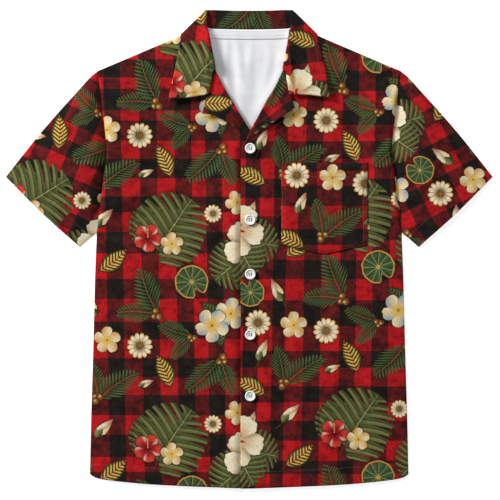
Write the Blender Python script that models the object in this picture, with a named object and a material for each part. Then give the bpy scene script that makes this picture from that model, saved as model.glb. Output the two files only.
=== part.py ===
"""A short-sleeved shirt with an open camp collar, laid flat on its back.

+X is to the right as the shirt is seen from above, +Y runs from the hem to the collar, and +Z is up.
The origin is under the middle of the shirt, on the surface that it lies on.
Left and right in the names are the wearer's: the left front is at +X and lies on top at the placket.
"""

import math

import bpy
import numpy as np
from mathutils.bvhtree import BVHTree

MM = 0.001

# Cloth and layers
CLOTH = 1.0 * MM
GAP = 0.35 * MM
LAYER = CLOTH + GAP
SEAM = 0.4 * MM

# How finely the panels are divided: rows from hem to shoulder, and columns from the middle outwards
SIDE_ROWS = 11
ARMHOLE_STEPS = 8
ROLL_ROWS = 6
NECK_ROWS = 8
FRONT_SHARES = np.array((0, 0.035, 0.075, 0.12, 0.18, 0.26, 0.36, 0.48, 0.6, 0.73, 0.86, 0.964, 1.0))
BACK_SHARES = np.array((0, 0.09, 0.17, 0.245, 0.278, 0.36, 0.45, 0.56, 0.7, 0.86, 0.966, 1.0))

# Outlines in plan. Columns: x, y, both in millimetres, at the side of +X.
HEM_CURVE = MM * np.array([
    (0, -383.2), (80, -380.4), (160, -376.4), (223, -370.2), (246, -365.8), (254.6, -360),
])
SIDE_SEAM = MM * np.array([(254.6, -360), (252.6, -271), (249.2, -156), (246.2, -40), (243.6, 26)])
ARMHOLE = MM * np.array([
    (243.6, 26), (239.8, 54), (231.8, 120), (227.8, 155), (230.4, 190), (238.6, 257), (242.4, 284),
])
NECK_POINT = MM * np.array((72.0, 356.4))
SHOULDER_TIP = ARMHOLE[-1]
BACK_NECK = MM * np.array([(0, 350.3), (40, 350.9), (62, 351.8), (68, 353.6), (72, 356.4)])
FRONT_NECK = MM * np.array([
    (57, 287), (62, 291.5), (69.6, 305), (74.6, 321), (76, 335), (74.6, 347), (72, 356.4),
])

# Fronts: how far each laps past the middle, and where the lapels fold back. Columns: x, y in millimetres.
OVERLAP_LEFT_X = -13.6 * MM
OVERLAP_RIGHT_X = 15.5 * MM
BREAK_Y = 168.0 * MM
ROLL_LEFT = MM * np.array([(-4.6, 175.6), (2.4, 190.5), (14.2, 211), (28.2, 237.7), (41, 258), (51.7, 281)])
ROLL_RIGHT = MM * np.array([
    (-5.4, 183), (-0.8, 190.5), (14.9, 215.8), (26.7, 235.9), (39.7, 257), (53.6, 284.5),
])
FRONT_EDGE_INSET = 1.9 * MM
FRONT_SWELL = 1.5 * MM
V_POINT = MM * np.array((1.5, 190.0))
V_CLEAR = 18.0 * MM
V_FADE = 64.0 * MM
ROLL_CLEAR = 13.0 * MM
ROLL_FADE = 42.0 * MM
ARMHOLE_STEP = 1.3 * MM

# Largest folds in the fronts, in millimetres: a ridge from (x0, y0) to (x1, y1), half width and height
FOLD_COLUMNS = ("x0", "y0", "x1", "y1", "half_width", "height")
FOLDS = MM * np.array([
    (226, 44, 120, 100, 34, 1.5),
    (-226, 52, -128, 116, 36, 1.4),
    (206, 236, 178, 120, 30, 0.8),
    (-204, 240, -172, 128, 32, 0.9),
    (112, -372, 126, -190, 38, 1.3),
    (-92, -374, -110, -170, 40, 1.5),
    (206, -360, 214, -230, 34, 0.9),
    (-200, -360, -192, -214, 36, 1.0),
])

# Sleeves. Columns: x, y in millimetres.
SLEEVE_TOP = MM * np.array([
    (242.4, 284), (254.9, 273.4), (270.8, 255.8), (302.7, 220.6), (334.7, 183.8), (366.7, 144), (389.4, 115),
])
CUFF = MM * np.array([(270.9, 2.5), (329.9, 55.6), (389.4, 115)])
UNDERARM = MM * np.array([(243.6, 26), (255, 16.6), (270.9, 2.5)])
SLEEVE_SWELL = 1.8 * MM

# Collar: its roll line up to the fold's corner, and the part folded under the back. Columns: x, y.
COLLAR_ROLL = MM * np.array([
    (54.6, 287.3), (58.2, 300), (62.8, 323), (65.4, 338.8), (66.8, 351.5), (67.3, 366), (67.4, 380.6),
])
COLLAR_CORNER = MM * np.array((69.3, 382.4))
COLLAR_SHOULDER = MM * np.array((110.0, 342.3))
COLLAR_TOP_DIP = 1.4 * MM
FALL_DEPTH_Y = 313.0 * MM
FALL_CLEAR = 9.0 * MM
FALL_FADE = 52.0 * MM
LEAF_LIFT = 3.0 * MM
ROLL_LIFT = 2.0 * MM
LAPEL_LIFT = 2.2 * MM
LAPEL_UNDER = 9.0 * MM

# The shapes that differ from side to side: collar leaf and lapel, at +X and in millimetres but for the roll
SIDES = {
    "right": {
        "sign": -1,
        "notch": (66.2, 246),
        "leaf_bottom": (98.9, 240.9),
        "leaf_point": (129.1, 236.4),
        "leaf_edge": (119.0, 285),
        "lapel_corner": (75.4, 215.3),
        "lapel_edge": ((59.8, 214.8), (40.6, 204.7), (17.6, 191), (0.5, 177.5)),
        "roll": ROLL_RIGHT,
    },
    "left": {
        "sign": 1,
        "notch": (65.4, 246.3),
        "leaf_bottom": (98.9, 245),
        "leaf_point": (129.0, 240.9),
        "leaf_edge": (120.2, 292),
        "lapel_corner": (73.1, 225.3),
        "lapel_edge": ((60.3, 216.2), (38.9, 201.2), (20.6, 189.5), (-2.2, 171.5)),
        "roll": ROLL_LEFT,
    },
}

# Neck tape inside the back
TAPE_DEPTH = 15.0 * MM
TAPE_CLEAR = 1.6 * MM

# Pocket on the left front
POCKET_X = (51.7 * MM, 188.8 * MM)
POCKET_TOP_Y = 137.2 * MM
POCKET_SIDE_Y = 6.0 * MM
POCKET_POINT_Y = -9.2 * MM
POCKET_MOUTH = 1.2 * MM

# Buttons
BUTTON_X = 1.8 * MM
BUTTON_Y = np.array((160.1, 46.2, -40.6, -137.2, -235.0)) * MM
BUTTON_RADIUS = 8.5 * MM
BUTTON_THICKNESS = 3.0 * MM
BUTTON_HOLE_RADIUS = 1.0 * MM
BUTTON_HOLE_SPACING = 3.6 * MM

# Base colour and roughness of each kind of material
LOOKS = {
    "printed_cloth": ((0.42, 0.045, 0.045), 0.85),
    "white_cloth": ((0.86, 0.86, 0.86), 0.85),
    "button": ((0.92, 0.92, 0.92), 0.35),
}


def ramp(value, start, end):
    """0 before start and 1 after end, with a smooth rise between them."""
    t = np.clip((np.asarray(value) - start) / (end - start), 0, 1)
    return t * t * (3 - 2 * t)


def curve(points, count):
    """A smooth line through the points, as count points that are evenly spaced along it."""
    points = np.asarray(points, float)
    ends = np.vstack([2 * points[0] - points[1], points, 2 * points[-1] - points[-2]])
    t = np.linspace(0, 1, 12, endpoint=False)[:, None]
    stretches = []
    for a, b, c, d in zip(ends, ends[1:], ends[2:], ends[3:]):
        stretches.append(0.5 * (2 * b + (c - a) * t + (2 * a - 5 * b + 4 * c - d) * t**2
                                + (3 * b - a - 3 * c + d) * t**3))
    return resample(np.vstack([*stretches, points[-1:]]), np.linspace(0, 1, count))


def resample(line, shares):
    """Points at these shares of a line's length."""
    steps = np.linalg.norm(np.diff(line, axis=0), axis=1)
    along = np.concatenate([[0], np.cumsum(steps)]) / steps.sum()
    return np.stack([np.interp(shares, along, line[:, k]) for k in range(line.shape[1])], axis=1)


def distance(points, line):
    """Distance in plan from each point to a line of points."""
    best = np.full(points.shape[:-1], np.inf)
    for a, b in zip(line, line[1:]):
        along = np.clip(((points - a) @ (b - a)) / ((b - a) @ (b - a)), 0, 1)
        best = np.minimum(best, np.linalg.norm(points - a - along[..., None] * (b - a), axis=-1))
    return best


def patch(bottom, top, inner, outer):
    """A grid between four lines. Bottom and top run outwards, inner and outer run upwards."""
    rows, columns = len(inner), len(bottom)
    u = np.linspace(0, 1, rows)[:, None, None]
    v_shares = np.concatenate([[0], np.cumsum(np.linalg.norm(np.diff(bottom, axis=0), axis=1))])
    v = (v_shares / v_shares[-1])[None, :, None]
    across = (1 - v) * inner[:, None] + v * outer[:, None]
    along = (1 - u) * bottom[None] + u * top[None]
    corners = (1 - u) * ((1 - v) * bottom[0] + v * bottom[-1]) + u * ((1 - v) * top[0] + v * top[-1])
    return across + along - corners


def mirrored(points, sign):
    return points * np.array([sign, 1.0])


def resting_on(grid, points):
    """The height of a grid's surface at each point in plan, or at its nearest place beyond its edge."""
    rows, columns = grid.shape[:2]
    tree = BVHTree.FromPolygons(grid.reshape(-1, 3).tolist(), grid_faces(rows, columns, False))
    heights = []
    for x, y in points.reshape(-1, 2):
        found = tree.ray_cast((x, y, 1.0), (0.0, 0.0, -1.0))[0]
        if found is None:
            found = tree.find_nearest((x, y, grid[..., 2].mean()))[0]
        heights.append(found[2])
    return np.array(heights).reshape(points.shape[:-1])


def with_height(grid, heights):
    return np.concatenate([grid, heights[..., None]], axis=-1)


def material(piece, kind):
    """A plain material of the piece's own, in the colour of its cloth or its button."""
    colour, roughness = LOOKS[kind]
    made = bpy.data.materials.new(f"{piece}_{kind}")
    made.use_nodes = True
    shader = made.node_tree.nodes["Principled BSDF"]
    shader.inputs["Base Color"].default_value = (*colour, 1.0)
    shader.inputs["Roughness"].default_value = roughness
    shader.inputs["Metallic"].default_value = 0.0
    return made


def grid_faces(rows, columns, closed):
    faces = []
    for i in range(rows - 1):
        for j in range(columns if closed else columns - 1):
            k = (j + 1) % columns
            faces.append((i * columns + j, i * columns + k, (i + 1) * columns + k, (i + 1) * columns + j))
    return faces


def sheet(name, grid, cloth, closed=False):
    """One piece of cloth: a grid of points through its middle, made into a wall by Solidify.

    A closed grid joins its last column to its first, as round a sleeve.
    """
    mesh = bpy.data.meshes.new(name)
    mesh.from_pydata(grid.reshape(-1, 3).tolist(), [], grid_faces(*grid.shape[:2], closed))
    mesh.materials.append(material(name, cloth))
    mesh.shade_smooth()
    piece = bpy.data.objects.new(name, mesh)
    bpy.context.scene.collection.objects.link(piece)
    wall = piece.modifiers.new("cloth", "SOLIDIFY")
    wall.thickness = CLOTH
    wall.offset = 0.0
    return piece


# Heights of the middle of each layer above the surface that the shirt lies on

def body_edge(y):
    """Half width of the body at this height up the shirt, armhole and shoulder included."""
    outline = np.vstack([HEM_CURVE[-2:-1], SIDE_SEAM, ARMHOLE[1:], NECK_POINT])
    return np.interp(y, outline[:, 1], outline[:, 0])


def back_height(points):
    """The back lies on the surface, and rises over the part of the collar that is folded under it."""
    x, y = points[..., 0], points[..., 1]
    fall_edge = FALL_DEPTH_Y + (COLLAR_SHOULDER[1] - FALL_DEPTH_Y) * (x / COLLAR_SHOULDER[0]) ** 2
    return CLOTH / 2 + LAYER * ramp(y, fall_edge - FALL_FADE, fall_edge - FALL_CLEAR)


def fold_height(points):
    total = np.zeros(points.shape[:-1])
    for row in FOLDS:
        fold = dict(zip(FOLD_COLUMNS, row))
        ends = np.array([(fold["x0"], fold["y0"]), (fold["x1"], fold["y1"])])
        total += fold["height"] * (1 - ramp(distance(points, ends), 0, fold["half_width"]))
    return total


def loose_height(points):
    """How far the fronts stand off the back: a soft swell in the middle, and a step beside the armhole."""
    x, y = points[..., 0], points[..., 1]
    share = np.clip(np.abs(x) / body_edge(y), 0, 1)
    to_armhole = np.minimum(distance(points, ARMHOLE), distance(points, mirrored(ARMHOLE, -1)))
    window = ramp(y, ARMHOLE[0, 1], 90 * MM) * (1 - ramp(y, 190 * MM, 250 * MM))
    step = ARMHOLE_STEP * window * (1 - ramp(to_armhole, 3 * MM, 24 * MM))
    return np.maximum((1 - share**6) * (FRONT_SWELL + fold_height(points)), step)


def near_roll(points, side):
    """1 beside the lapel's roll line, where the facing is tucked under the front, and 0 away from it."""
    line = mirrored(SIDES[side]["roll"], SIDES[side]["sign"])
    return 1 - ramp(distance(points, line), ROLL_CLEAR, ROLL_FADE)


def tucked_layers(points, side):
    """How many layers lie between a front and the back.

    The left front lies over the right front, over its facing, and over its lapel where the two cross.
    """
    if side == "right":
        return near_roll(points, "right")
    over = (1 - ramp(points[..., 0], 26 * MM, 60 * MM)) * (1 + near_roll(points, "right"))
    crossing = 1 - ramp(np.linalg.norm(points - V_POINT, axis=-1), V_CLEAR, V_FADE)
    return over + near_roll(points, "left") + crossing


# Body panels

def armhole_line():
    """The armhole seam. Every other point is half way along a straight step."""
    corners = curve(ARMHOLE, ARMHOLE_STEPS + 1)
    halves = (corners[:-1] + corners[1:]) / 2
    between = np.stack([corners[:-1], halves], axis=1).reshape(-1, 2)
    return np.vstack([between, corners[-1:]])


def outer_line():
    """The side seam and the armhole, from the hem up to the shoulder."""
    return np.vstack([curve(SIDE_SEAM, SIDE_ROWS + 1)[:-1], armhole_line()])


def make_back():
    outer = outer_line()
    heights = np.interp(outer[:, 1], outer[[0, -1], 1], (HEM_CURVE[0, 1], BACK_NECK[0, 1]))
    inner = np.stack([np.zeros(len(outer)), heights], axis=1)
    top = np.vstack([BACK_NECK, SHOULDER_TIP])
    half = patch(resample(curve(HEM_CURVE, 40), BACK_SHARES), resample(top, BACK_SHARES), inner, outer)
    whole = np.concatenate([mirrored(half[:, :0:-1], -1), half], axis=1)
    grid = with_height(whole, back_height(whole))
    sheet("back", grid, "white_cloth")
    return grid


def front_edge(side):
    """The line up a front's inner edge, at +X: the placket, inside the lapel's roll, and round the neck."""
    placket_x = OVERLAP_LEFT_X if side == "left" else -OVERLAP_RIGHT_X
    along = curve(SIDES[side]["roll"], ROLL_ROWS + 1)[:-1]
    steps = np.gradient(along, axis=0)
    outwards = np.stack([steps[:, 1], -steps[:, 0]], axis=1)
    inset = along + FRONT_EDGE_INSET * outwards / np.linalg.norm(outwards, axis=1)[:, None]
    placket_rows = len(outer_line()) - ROLL_ROWS - NECK_ROWS - 1
    placket = np.linspace((placket_x, HEM_CURVE[0, 1]), (placket_x, BREAK_Y - 8 * MM), placket_rows)
    corner = np.array([(placket_x + 2.5 * MM, BREAK_Y - 1 * MM)])
    return np.vstack([placket, corner, inset, curve(FRONT_NECK, NECK_ROWS)])


def make_front(side, back):
    sign = SIDES[side]["sign"]
    inner = front_edge(side)
    hem = curve(HEM_CURVE, 60)
    hem = np.vstack([inner[0], hem[hem[:, 0] > max(inner[0, 0], 0) + 1 * MM]])
    top = resample(np.array([NECK_POINT, SHOULDER_TIP]), FRONT_SHARES)
    grid = mirrored(patch(resample(hem, FRONT_SHARES), top, inner, outer_line()), sign)
    heights = resting_on(back, grid) + loose_height(grid) + LAYER * (1 + tucked_layers(grid, side))
    grid = with_height(grid, heights)
    sheet("front_" + side, grid, "printed_cloth")
    return grid


def make_sleeve(side):
    """A flattened tube, open at the cuff and at the armhole."""
    sign = SIDES[side]["sign"]
    lengthwise, crosswise = 10, ARMHOLE_STEPS + 1
    armhole = armhole_line()[::2] + np.array([1.5 * SEAM, 0])
    under, over = curve(UNDERARM, lengthwise), curve(SLEEVE_TOP, lengthwise)
    under[0], over[0] = armhole[0], armhole[-1]
    layer = patch(armhole, curve(CUFF, crosswise), under, over)
    s = np.linspace(0, 1, crosswise)[None, :]
    t = np.linspace(0, 1, lengthwise)[:, None]
    turn = LAYER / 2
    edge_in = turn + CLOTH / 2
    widths = np.linalg.norm(layer[:, -1] - layer[:, 0], axis=1)[:, None]
    s_inset = edge_in / widths + (1 - 2 * edge_in / widths) * s
    flat = layer[:, :1] + (layer[:, -1:] - layer[:, :1]) * s_inset[..., None]
    bow = layer - (layer[:, :1] + (layer[:, -1:] - layer[:, :1]) * s[..., None])
    flat = flat + bow
    swell = SLEEVE_SWELL * np.sin(math.pi * s) ** 0.7 * ramp(t, 0, 0.45)
    upper = with_height(flat, CLOTH / 2 + LAYER + swell)
    lower = with_height(flat, np.full(flat.shape[:2], CLOTH / 2))
    outwards = (layer[:, -1] - layer[:, 0]) / widths
    over_top = with_height(flat[:, -1] + turn * outwards, np.full(lengthwise, CLOTH / 2 + turn))
    over_arm = with_height(flat[:, 0] - turn * outwards, np.full(lengthwise, CLOTH / 2 + turn))
    ring = np.concatenate([upper, over_top[:, None], lower[:, ::-1], over_arm[:, None]], axis=1)
    ring = ring[:, ::-1] if sign > 0 else ring
    ring[..., 0] *= sign
    sheet("sleeve_" + side, ring, "printed_cloth", closed=True)


# Collar

def leaf_rows(side, rows, columns):
    """The collar's leaf on one front, from its front end up to the shoulder, in plan and at +X."""
    spec = SIDES[side]
    notch, point = np.array(spec["notch"]) * MM, np.array(spec["leaf_point"]) * MM
    inner_count = max(2, columns // 3)
    front = np.linspace(COLLAR_ROLL[0], notch, inner_count, endpoint=False)
    below = curve([notch, np.array(spec["leaf_bottom"]) * MM, point], columns - inner_count)
    bottom = np.vstack([front, below])
    outward = wrap_outward()
    shoulder = COLLAR_SHOULDER - outward * (wrap_radius() + CLOTH / 2)
    top = resample(np.array([COLLAR_ROLL[-1], shoulder]), np.linspace(0, 1, columns))
    outer = curve([point, np.array(spec["leaf_edge"]) * MM, shoulder], rows)
    return patch(bottom, top, curve(COLLAR_ROLL, rows), outer)


def wrap_outward():
    """The direction in plan that the collar's fold over the shoulder faces."""
    along = COLLAR_SHOULDER - COLLAR_CORNER
    return np.array((-along[1], along[0])) / np.linalg.norm(along)


def wrap_radius():
    """The collar goes from under the back, round the shoulder, to the top of the front."""
    return 1.5 * LAYER


def fold_arc(start, end, bulge, count=3):
    """Points of the half circle from start to end that bulges this way, without its ends."""
    centre, half = (start + end) / 2, (end - start) / 2
    radius = np.linalg.norm(half)
    angles = np.linspace(0, math.pi, count + 2)[1:-1]
    return [centre - half * math.cos(a) + bulge * radius * math.sin(a) for a in angles]


def collar_row(neck, leaf, bulge):
    """One section across the collar: neck seam, stand, roll and leaf. The stand ends beside the roll."""
    stand_end = leaf[0].copy()
    stand_end[2] = neck[2]
    middle = (neck + stand_end) / 2
    return np.vstack([neck, middle, stand_end, *fold_arc(stand_end, leaf[0], bulge), leaf])


def front_collar_rows(side, front, columns=7):
    """Sections across the collar where it lies on a front, from its front end up to the shoulder."""
    sign = SIDES[side]["sign"]
    plan = leaf_rows(side, NECK_ROWS, columns)
    plan[:, 0] += (plan[:, 1] - plan[:, 0]) * 0.06
    neckline = curve(FRONT_NECK, NECK_ROWS)
    steps = np.gradient(plan[:, 0], axis=0)
    bulges = np.stack([-steps[:, 1], steps[:, 0]], axis=1)
    bulges /= np.linalg.norm(bulges, axis=1)[:, None]
    u = np.linspace(0, 1, NECK_ROWS)[:, None]
    v = np.linspace(0, 1, columns)[None, :]
    lift = LEAF_LIFT * (0.25 + 0.75 * v) * (1 - ramp(u, 0.0, 0.8))
    lift = lift + ROLL_LIFT * np.sin(math.pi * u) * (1 - v)
    leaves = with_height(plan, resting_on(front, mirrored(plan, sign)) + LAYER + lift)
    necks = with_height(neckline, resting_on(front, mirrored(neckline, sign)))
    made = []
    for i in range(NECK_ROWS - 1):
        blend = ramp(i / (NECK_ROWS - 1), 0.7, 1.0)
        bulge = np.append((1 - blend) * bulges[i] + blend * np.array((0.0, 1.0)), 0)
        toward_roll = plan[i, 0] - neckline[i]
        length = np.linalg.norm(toward_roll)
        neck = necks[i] + np.append(toward_roll * min(0.5, SEAM / length), 0)
        made.append(collar_row(neck, leaves[i], bulge / np.linalg.norm(bulge)))
    return made


def wrap_rows(columns=7):
    """Sections where the collar turns over the shoulder, from the front round to the back."""
    stand_axis_x = 67.2 * MM
    neck_y = 354.8 * MM
    outward = wrap_outward()
    inset = outward * (wrap_radius() + CLOTH / 2)
    start, end = COLLAR_CORNER - inset, COLLAR_SHOULDER - inset
    middle_z = CLOTH / 2 + 1.5 * LAYER
    made = []
    for angle in np.radians((90, 45, 0, -45, -90)):
        turn = LAYER / 2 * np.array((math.cos(angle), 0, math.sin(angle)))
        stand = np.array((stand_axis_x, 0, middle_z)) + turn
        fall = resample(np.array([start, end]), np.linspace(0, 1, columns))
        fall = fall + outward * wrap_radius() * math.cos(angle)
        fall = with_height(fall, np.full(columns, middle_z + wrap_radius() * math.sin(angle)))
        fall[0, 0] = max(fall[0, 0], stand[0] + LAYER * math.cos(angle))
        neck, stand_end = stand.copy(), stand.copy()
        neck[1], stand_end[1] = neck_y, fall[0, 1]
        arc = fold_arc(stand_end, fall[0], np.array((0.0, 1.0, 0.0)))
        made.append(np.vstack([neck, (neck + stand_end) / 2, stand_end, *arc, fall]))
    return made


def back_collar_rows(columns=7):
    """Sections across the back of the neck: the stand shows, and the fall lies under the back."""
    stand_z, fall_z = CLOTH / 2 + LAYER, CLOTH / 2
    outer_x = COLLAR_SHOULDER[0] - 2 * wrap_radius()
    made = []
    for share in (0.84, 0.64, 0.42, 0.2):
        x = 67.2 * MM * share
        fold_y = COLLAR_CORNER[1] - COLLAR_TOP_DIP * (1 - share**2) - CLOTH / 2 - LAYER / 2
        edge_x = outer_x * share
        edge_y = FALL_DEPTH_Y + (COLLAR_SHOULDER[1] - FALL_DEPTH_Y) * (edge_x / COLLAR_SHOULDER[0]) ** 2
        neck_y = np.interp(x, BACK_NECK[:, 0], BACK_NECK[:, 1]) + SEAM
        neck = np.array((x, neck_y, stand_z))
        fall = np.linspace((x, fold_y, fall_z), (edge_x, edge_y, fall_z), columns)
        made.append(collar_row(neck, fall, np.array((0.0, 1.0, 0.0))))
    return made


def make_collar(fronts):
    halves = {}
    for side in ("left", "right"):
        rows = np.array(front_collar_rows(side, fronts[side]) + wrap_rows() + back_collar_rows())
        rows[..., 0] *= SIDES[side]["sign"]
        halves[side] = rows
    middle = halves["left"][-1:].copy()
    middle[..., 0] = 0
    middle[..., 1] -= (halves["left"][-2, :, 1] - halves["left"][-1, :, 1]) * 0.2
    grid = np.concatenate([halves["right"], middle, halves["left"][::-1]])
    sheet("collar", grid, "printed_cloth")


def make_lapel(side, front):
    """The facing where it shows: tucked under the front's edge, over the roll and back as the lapel."""
    spec = SIDES[side]
    rows, columns = 11, 6
    corner = np.array(spec["lapel_corner"]) * MM
    edge = np.array(spec["lapel_edge"][::-1]) * MM
    end_edge = resample(np.array([edge[-1], corner]), np.array((0.34, 0.67, 1.0)))
    outer = np.vstack([curve(edge, rows - 3), end_edge])
    roll = curve(spec["roll"], rows)
    gorge = np.array([roll[-1], np.array(spec["notch"]) * MM - np.array((2 * SEAM, 0)), corner])
    end = resample(gorge, np.linspace(0, 1, columns))
    start = resample(np.array([roll[0], outer[0]]), np.linspace(0, 1, columns))
    plan = patch(start, end, roll, outer)
    turn = LAYER + CLOTH / 2
    u = np.linspace(0, 1, rows)
    made = []
    for i in range(rows):
        across = plan[i, -1] - plan[i, 0]
        across /= np.linalg.norm(across)
        along = roll[min(i + 1, rows - 1)] - roll[max(i - 1, 0)]
        outwards = np.array((along[1], -along[0])) / np.linalg.norm(along)
        inset = plan[i] + (turn * outwards)[None] * np.linspace(1, 0, columns)[:, None]
        line = mirrored(inset, spec["sign"])
        under = mirrored(inset[0] + outwards * LAPEL_UNDER, spec["sign"])
        lift = LAPEL_LIFT * np.linspace(0, 1, columns) ** 1.5 * ramp(u[i], 0.15, 0.6)
        flap = with_height(line, resting_on(front, line) + LAYER + lift)
        tucked = np.array([under, line[0]])
        tuck = with_height(tucked, resting_on(front, tucked) - LAYER)
        bulge = np.append(mirrored(-outwards, spec["sign"]), 0)
        made.append(np.vstack([tuck, *fold_arc(tuck[1], flap[0], bulge), flap]))
    sheet("lapel_" + side, np.array(made), "printed_cloth")


def make_neck_tape(back):
    """A strip along the inside of the neck seam, from one roll of the collar to the other."""
    rows = []
    for share in (1.0, 0.5, 0.0):
        height = BACK_NECK[0, 1] - 1 * MM - TAPE_DEPTH * share
        half = np.interp(height, COLLAR_ROLL[:, 1], COLLAR_ROLL[:, 0]) - TAPE_CLEAR
        x = np.linspace(-half, half, 13)
        y = np.interp(np.abs(x), BACK_NECK[:, 0], BACK_NECK[:, 1]) - BACK_NECK[0, 1] + height
        rows.append(np.stack([x, y], axis=1))
    grid = np.array(rows)
    sheet("neck_tape", with_height(grid, resting_on(back, grid) + LAYER), "white_cloth")


def make_pocket(front):
    middle = sum(POCKET_X) / 2
    bottom = np.vstack([
        np.linspace((POCKET_X[0], POCKET_SIDE_Y), (middle, POCKET_POINT_Y), 5),
        np.linspace((middle, POCKET_POINT_Y), (POCKET_X[1], POCKET_SIDE_Y), 5)[1:],
    ])
    rows = 9
    top = np.linspace((POCKET_X[0], POCKET_TOP_Y), (POCKET_X[1], POCKET_TOP_Y), 9)
    inner = np.linspace(bottom[0], top[0], rows)
    outer = np.linspace(bottom[-1], top[-1], rows)
    grid = patch(bottom, top, inner, outer)
    u = np.linspace(0, 1, rows)[:, None]
    v = np.linspace(0, 1, 9)[None, :]
    belly = POCKET_MOUTH * np.sin(math.pi * v) * ramp(u, 0.3, 1.0)
    sheet("pocket", with_height(grid, resting_on(front, grid) + LAYER + SEAM + belly), "printed_cloth")


# Buttons

def button_mesh():
    """A turned button with a raised rim, and a four-hole middle."""
    radius, thick = BUTTON_RADIUS, BUTTON_THICKNESS
    profile = [
        (0.62 * radius, 0),
        (0.93 * radius, 0.22 * thick),
        (radius, 0.5 * thick),
        (0.95 * radius, 0.9 * thick),
        (0.86 * radius, thick),
        (0.74 * radius, 0.9 * thick),
        (0.62 * radius, 0.66 * thick),
    ]
    steps = 20
    points, faces = [], []
    for r, z in profile:
        for k in range(steps):
            angle = 2 * math.pi * k / steps
            points.append((r * math.cos(angle), r * math.sin(angle), z))
    for i in range(len(profile) - 1):
        for k in range(steps):
            n = (k + 1) % steps
            faces.append((i * steps + k, i * steps + n, (i + 1) * steps + n, (i + 1) * steps + k))
    faces.append(tuple(range(steps))[::-1])
    faces.append(tuple((len(profile) - 1) * steps + k for k in range(steps)))
    mesh = bpy.data.meshes.new("button")
    mesh.from_pydata(points, [], faces)
    mesh.materials.append(material("buttons", "button"))
    mesh.shade_smooth()
    mesh.set_sharp_from_angle(angle=math.radians(40))
    return mesh


def hole_cutter():
    """Four round pins, one for each thread hole."""
    points, faces = [], []
    sides = 8
    for sx in (-0.5, 0.5):
        for sy in (-0.5, 0.5):
            first = len(points)
            for z in (-BUTTON_THICKNESS, 2 * BUTTON_THICKNESS):
                for k in range(sides):
                    angle = 2 * math.pi * (k + 0.5) / sides
                    points.append((sx * BUTTON_HOLE_SPACING + BUTTON_HOLE_RADIUS * math.cos(angle),
                                   sy * BUTTON_HOLE_SPACING + BUTTON_HOLE_RADIUS * math.sin(angle), z))
            for k in range(sides):
                n = (k + 1) % sides
                faces.append((first + k, first + n, first + sides + n, first + sides + k))
            faces.append(tuple(first + k for k in range(sides))[::-1])
            faces.append(tuple(first + sides + k for k in range(sides)))
    mesh = bpy.data.meshes.new("button_holes")
    mesh.from_pydata(points, [], faces)
    cutter = bpy.data.objects.new("button_holes", mesh)
    bpy.context.scene.collection.objects.link(cutter)
    cutter.hide_render = True
    cutter.display_type = "WIRE"
    return cutter


def make_buttons(front):
    mesh = button_mesh()
    angles = np.radians(np.arange(0, 360, 30))
    ring = BUTTON_RADIUS * np.stack([np.cos(angles), np.sin(angles)], axis=1)
    for number, y in enumerate(BUTTON_Y, start=1):
        centre = np.array((BUTTON_X, y))
        seat = resting_on(front, centre + np.vstack([ring, ring / 2])).max() + CLOTH / 2 + SEAM
        button = bpy.data.objects.new(f"button_{number}", mesh)
        bpy.context.scene.collection.objects.link(button)
        button.location = (*centre, seat)
        cutter = hole_cutter()
        cutter.name = f"button_holes_{number}"
        cutter.parent = button
        holes = button.modifiers.new("thread holes", "BOOLEAN")
        holes.operation = "DIFFERENCE"
        holes.object = cutter


def main():
    for old in list(bpy.data.objects):
        bpy.data.objects.remove(old)
    back = make_back()
    make_neck_tape(back)
    fronts = {}
    for side in ("right", "left"):
        fronts[side] = make_front(side, back)
        make_sleeve(side)
        make_lapel(side, fronts[side])
    make_collar(fronts)
    make_pocket(fronts["left"])
    make_buttons(fronts["left"])


main()
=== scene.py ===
"""The looks of a short-sleeved shirt with an open camp collar, laid flat on its back.

The outline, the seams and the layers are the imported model's. The folds stand higher than its solids do.
+X is to the right as the shirt is seen from above. Left and right in the names are the wearer's: the left
front is at +X and lies on top at the placket.
"""

import itertools
import math

import bpy
import numpy as np
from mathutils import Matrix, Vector
from mathutils.bvhtree import BVHTree


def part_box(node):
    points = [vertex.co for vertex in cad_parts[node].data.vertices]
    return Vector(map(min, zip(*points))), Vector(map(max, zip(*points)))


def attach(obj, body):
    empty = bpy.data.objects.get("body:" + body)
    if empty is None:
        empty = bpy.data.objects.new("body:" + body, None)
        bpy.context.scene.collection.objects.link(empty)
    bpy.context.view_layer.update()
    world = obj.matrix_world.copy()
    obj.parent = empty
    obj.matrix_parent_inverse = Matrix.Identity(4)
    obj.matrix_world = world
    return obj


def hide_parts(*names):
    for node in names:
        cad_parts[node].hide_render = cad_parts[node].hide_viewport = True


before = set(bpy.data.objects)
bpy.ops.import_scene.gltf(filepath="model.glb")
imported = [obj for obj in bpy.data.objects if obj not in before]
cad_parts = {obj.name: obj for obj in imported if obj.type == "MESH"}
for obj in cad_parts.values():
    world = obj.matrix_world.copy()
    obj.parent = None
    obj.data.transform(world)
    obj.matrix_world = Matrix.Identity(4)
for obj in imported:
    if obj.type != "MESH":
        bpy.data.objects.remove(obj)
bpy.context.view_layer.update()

MM = 0.001


def unit(vectors):
    """The same directions, with a length of 1."""
    return vectors / np.linalg.norm(vectors, axis=-1, keepdims=True)


def clockwise(vectors):
    """Directions in plan, turned clockwise by a quarter."""
    return np.stack([vectors[..., 1], -vectors[..., 0]], axis=-1)


# Numbers and colours worked out by shader nodes

class Number:
    """A number or a colour worked out for each point of a surface. Arithmetic on it adds math nodes."""

    def __init__(self, socket):
        self.socket = socket

    def __neg__(self):
        return self * -1.0


class Sheet:
    """The node tree that is being filled."""
    tree = None


def make(kind, **settings):
    made = Sheet.tree.nodes.new("ShaderNode" + kind)
    for key, value in settings.items():
        setattr(made, key, value)
    return made


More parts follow.
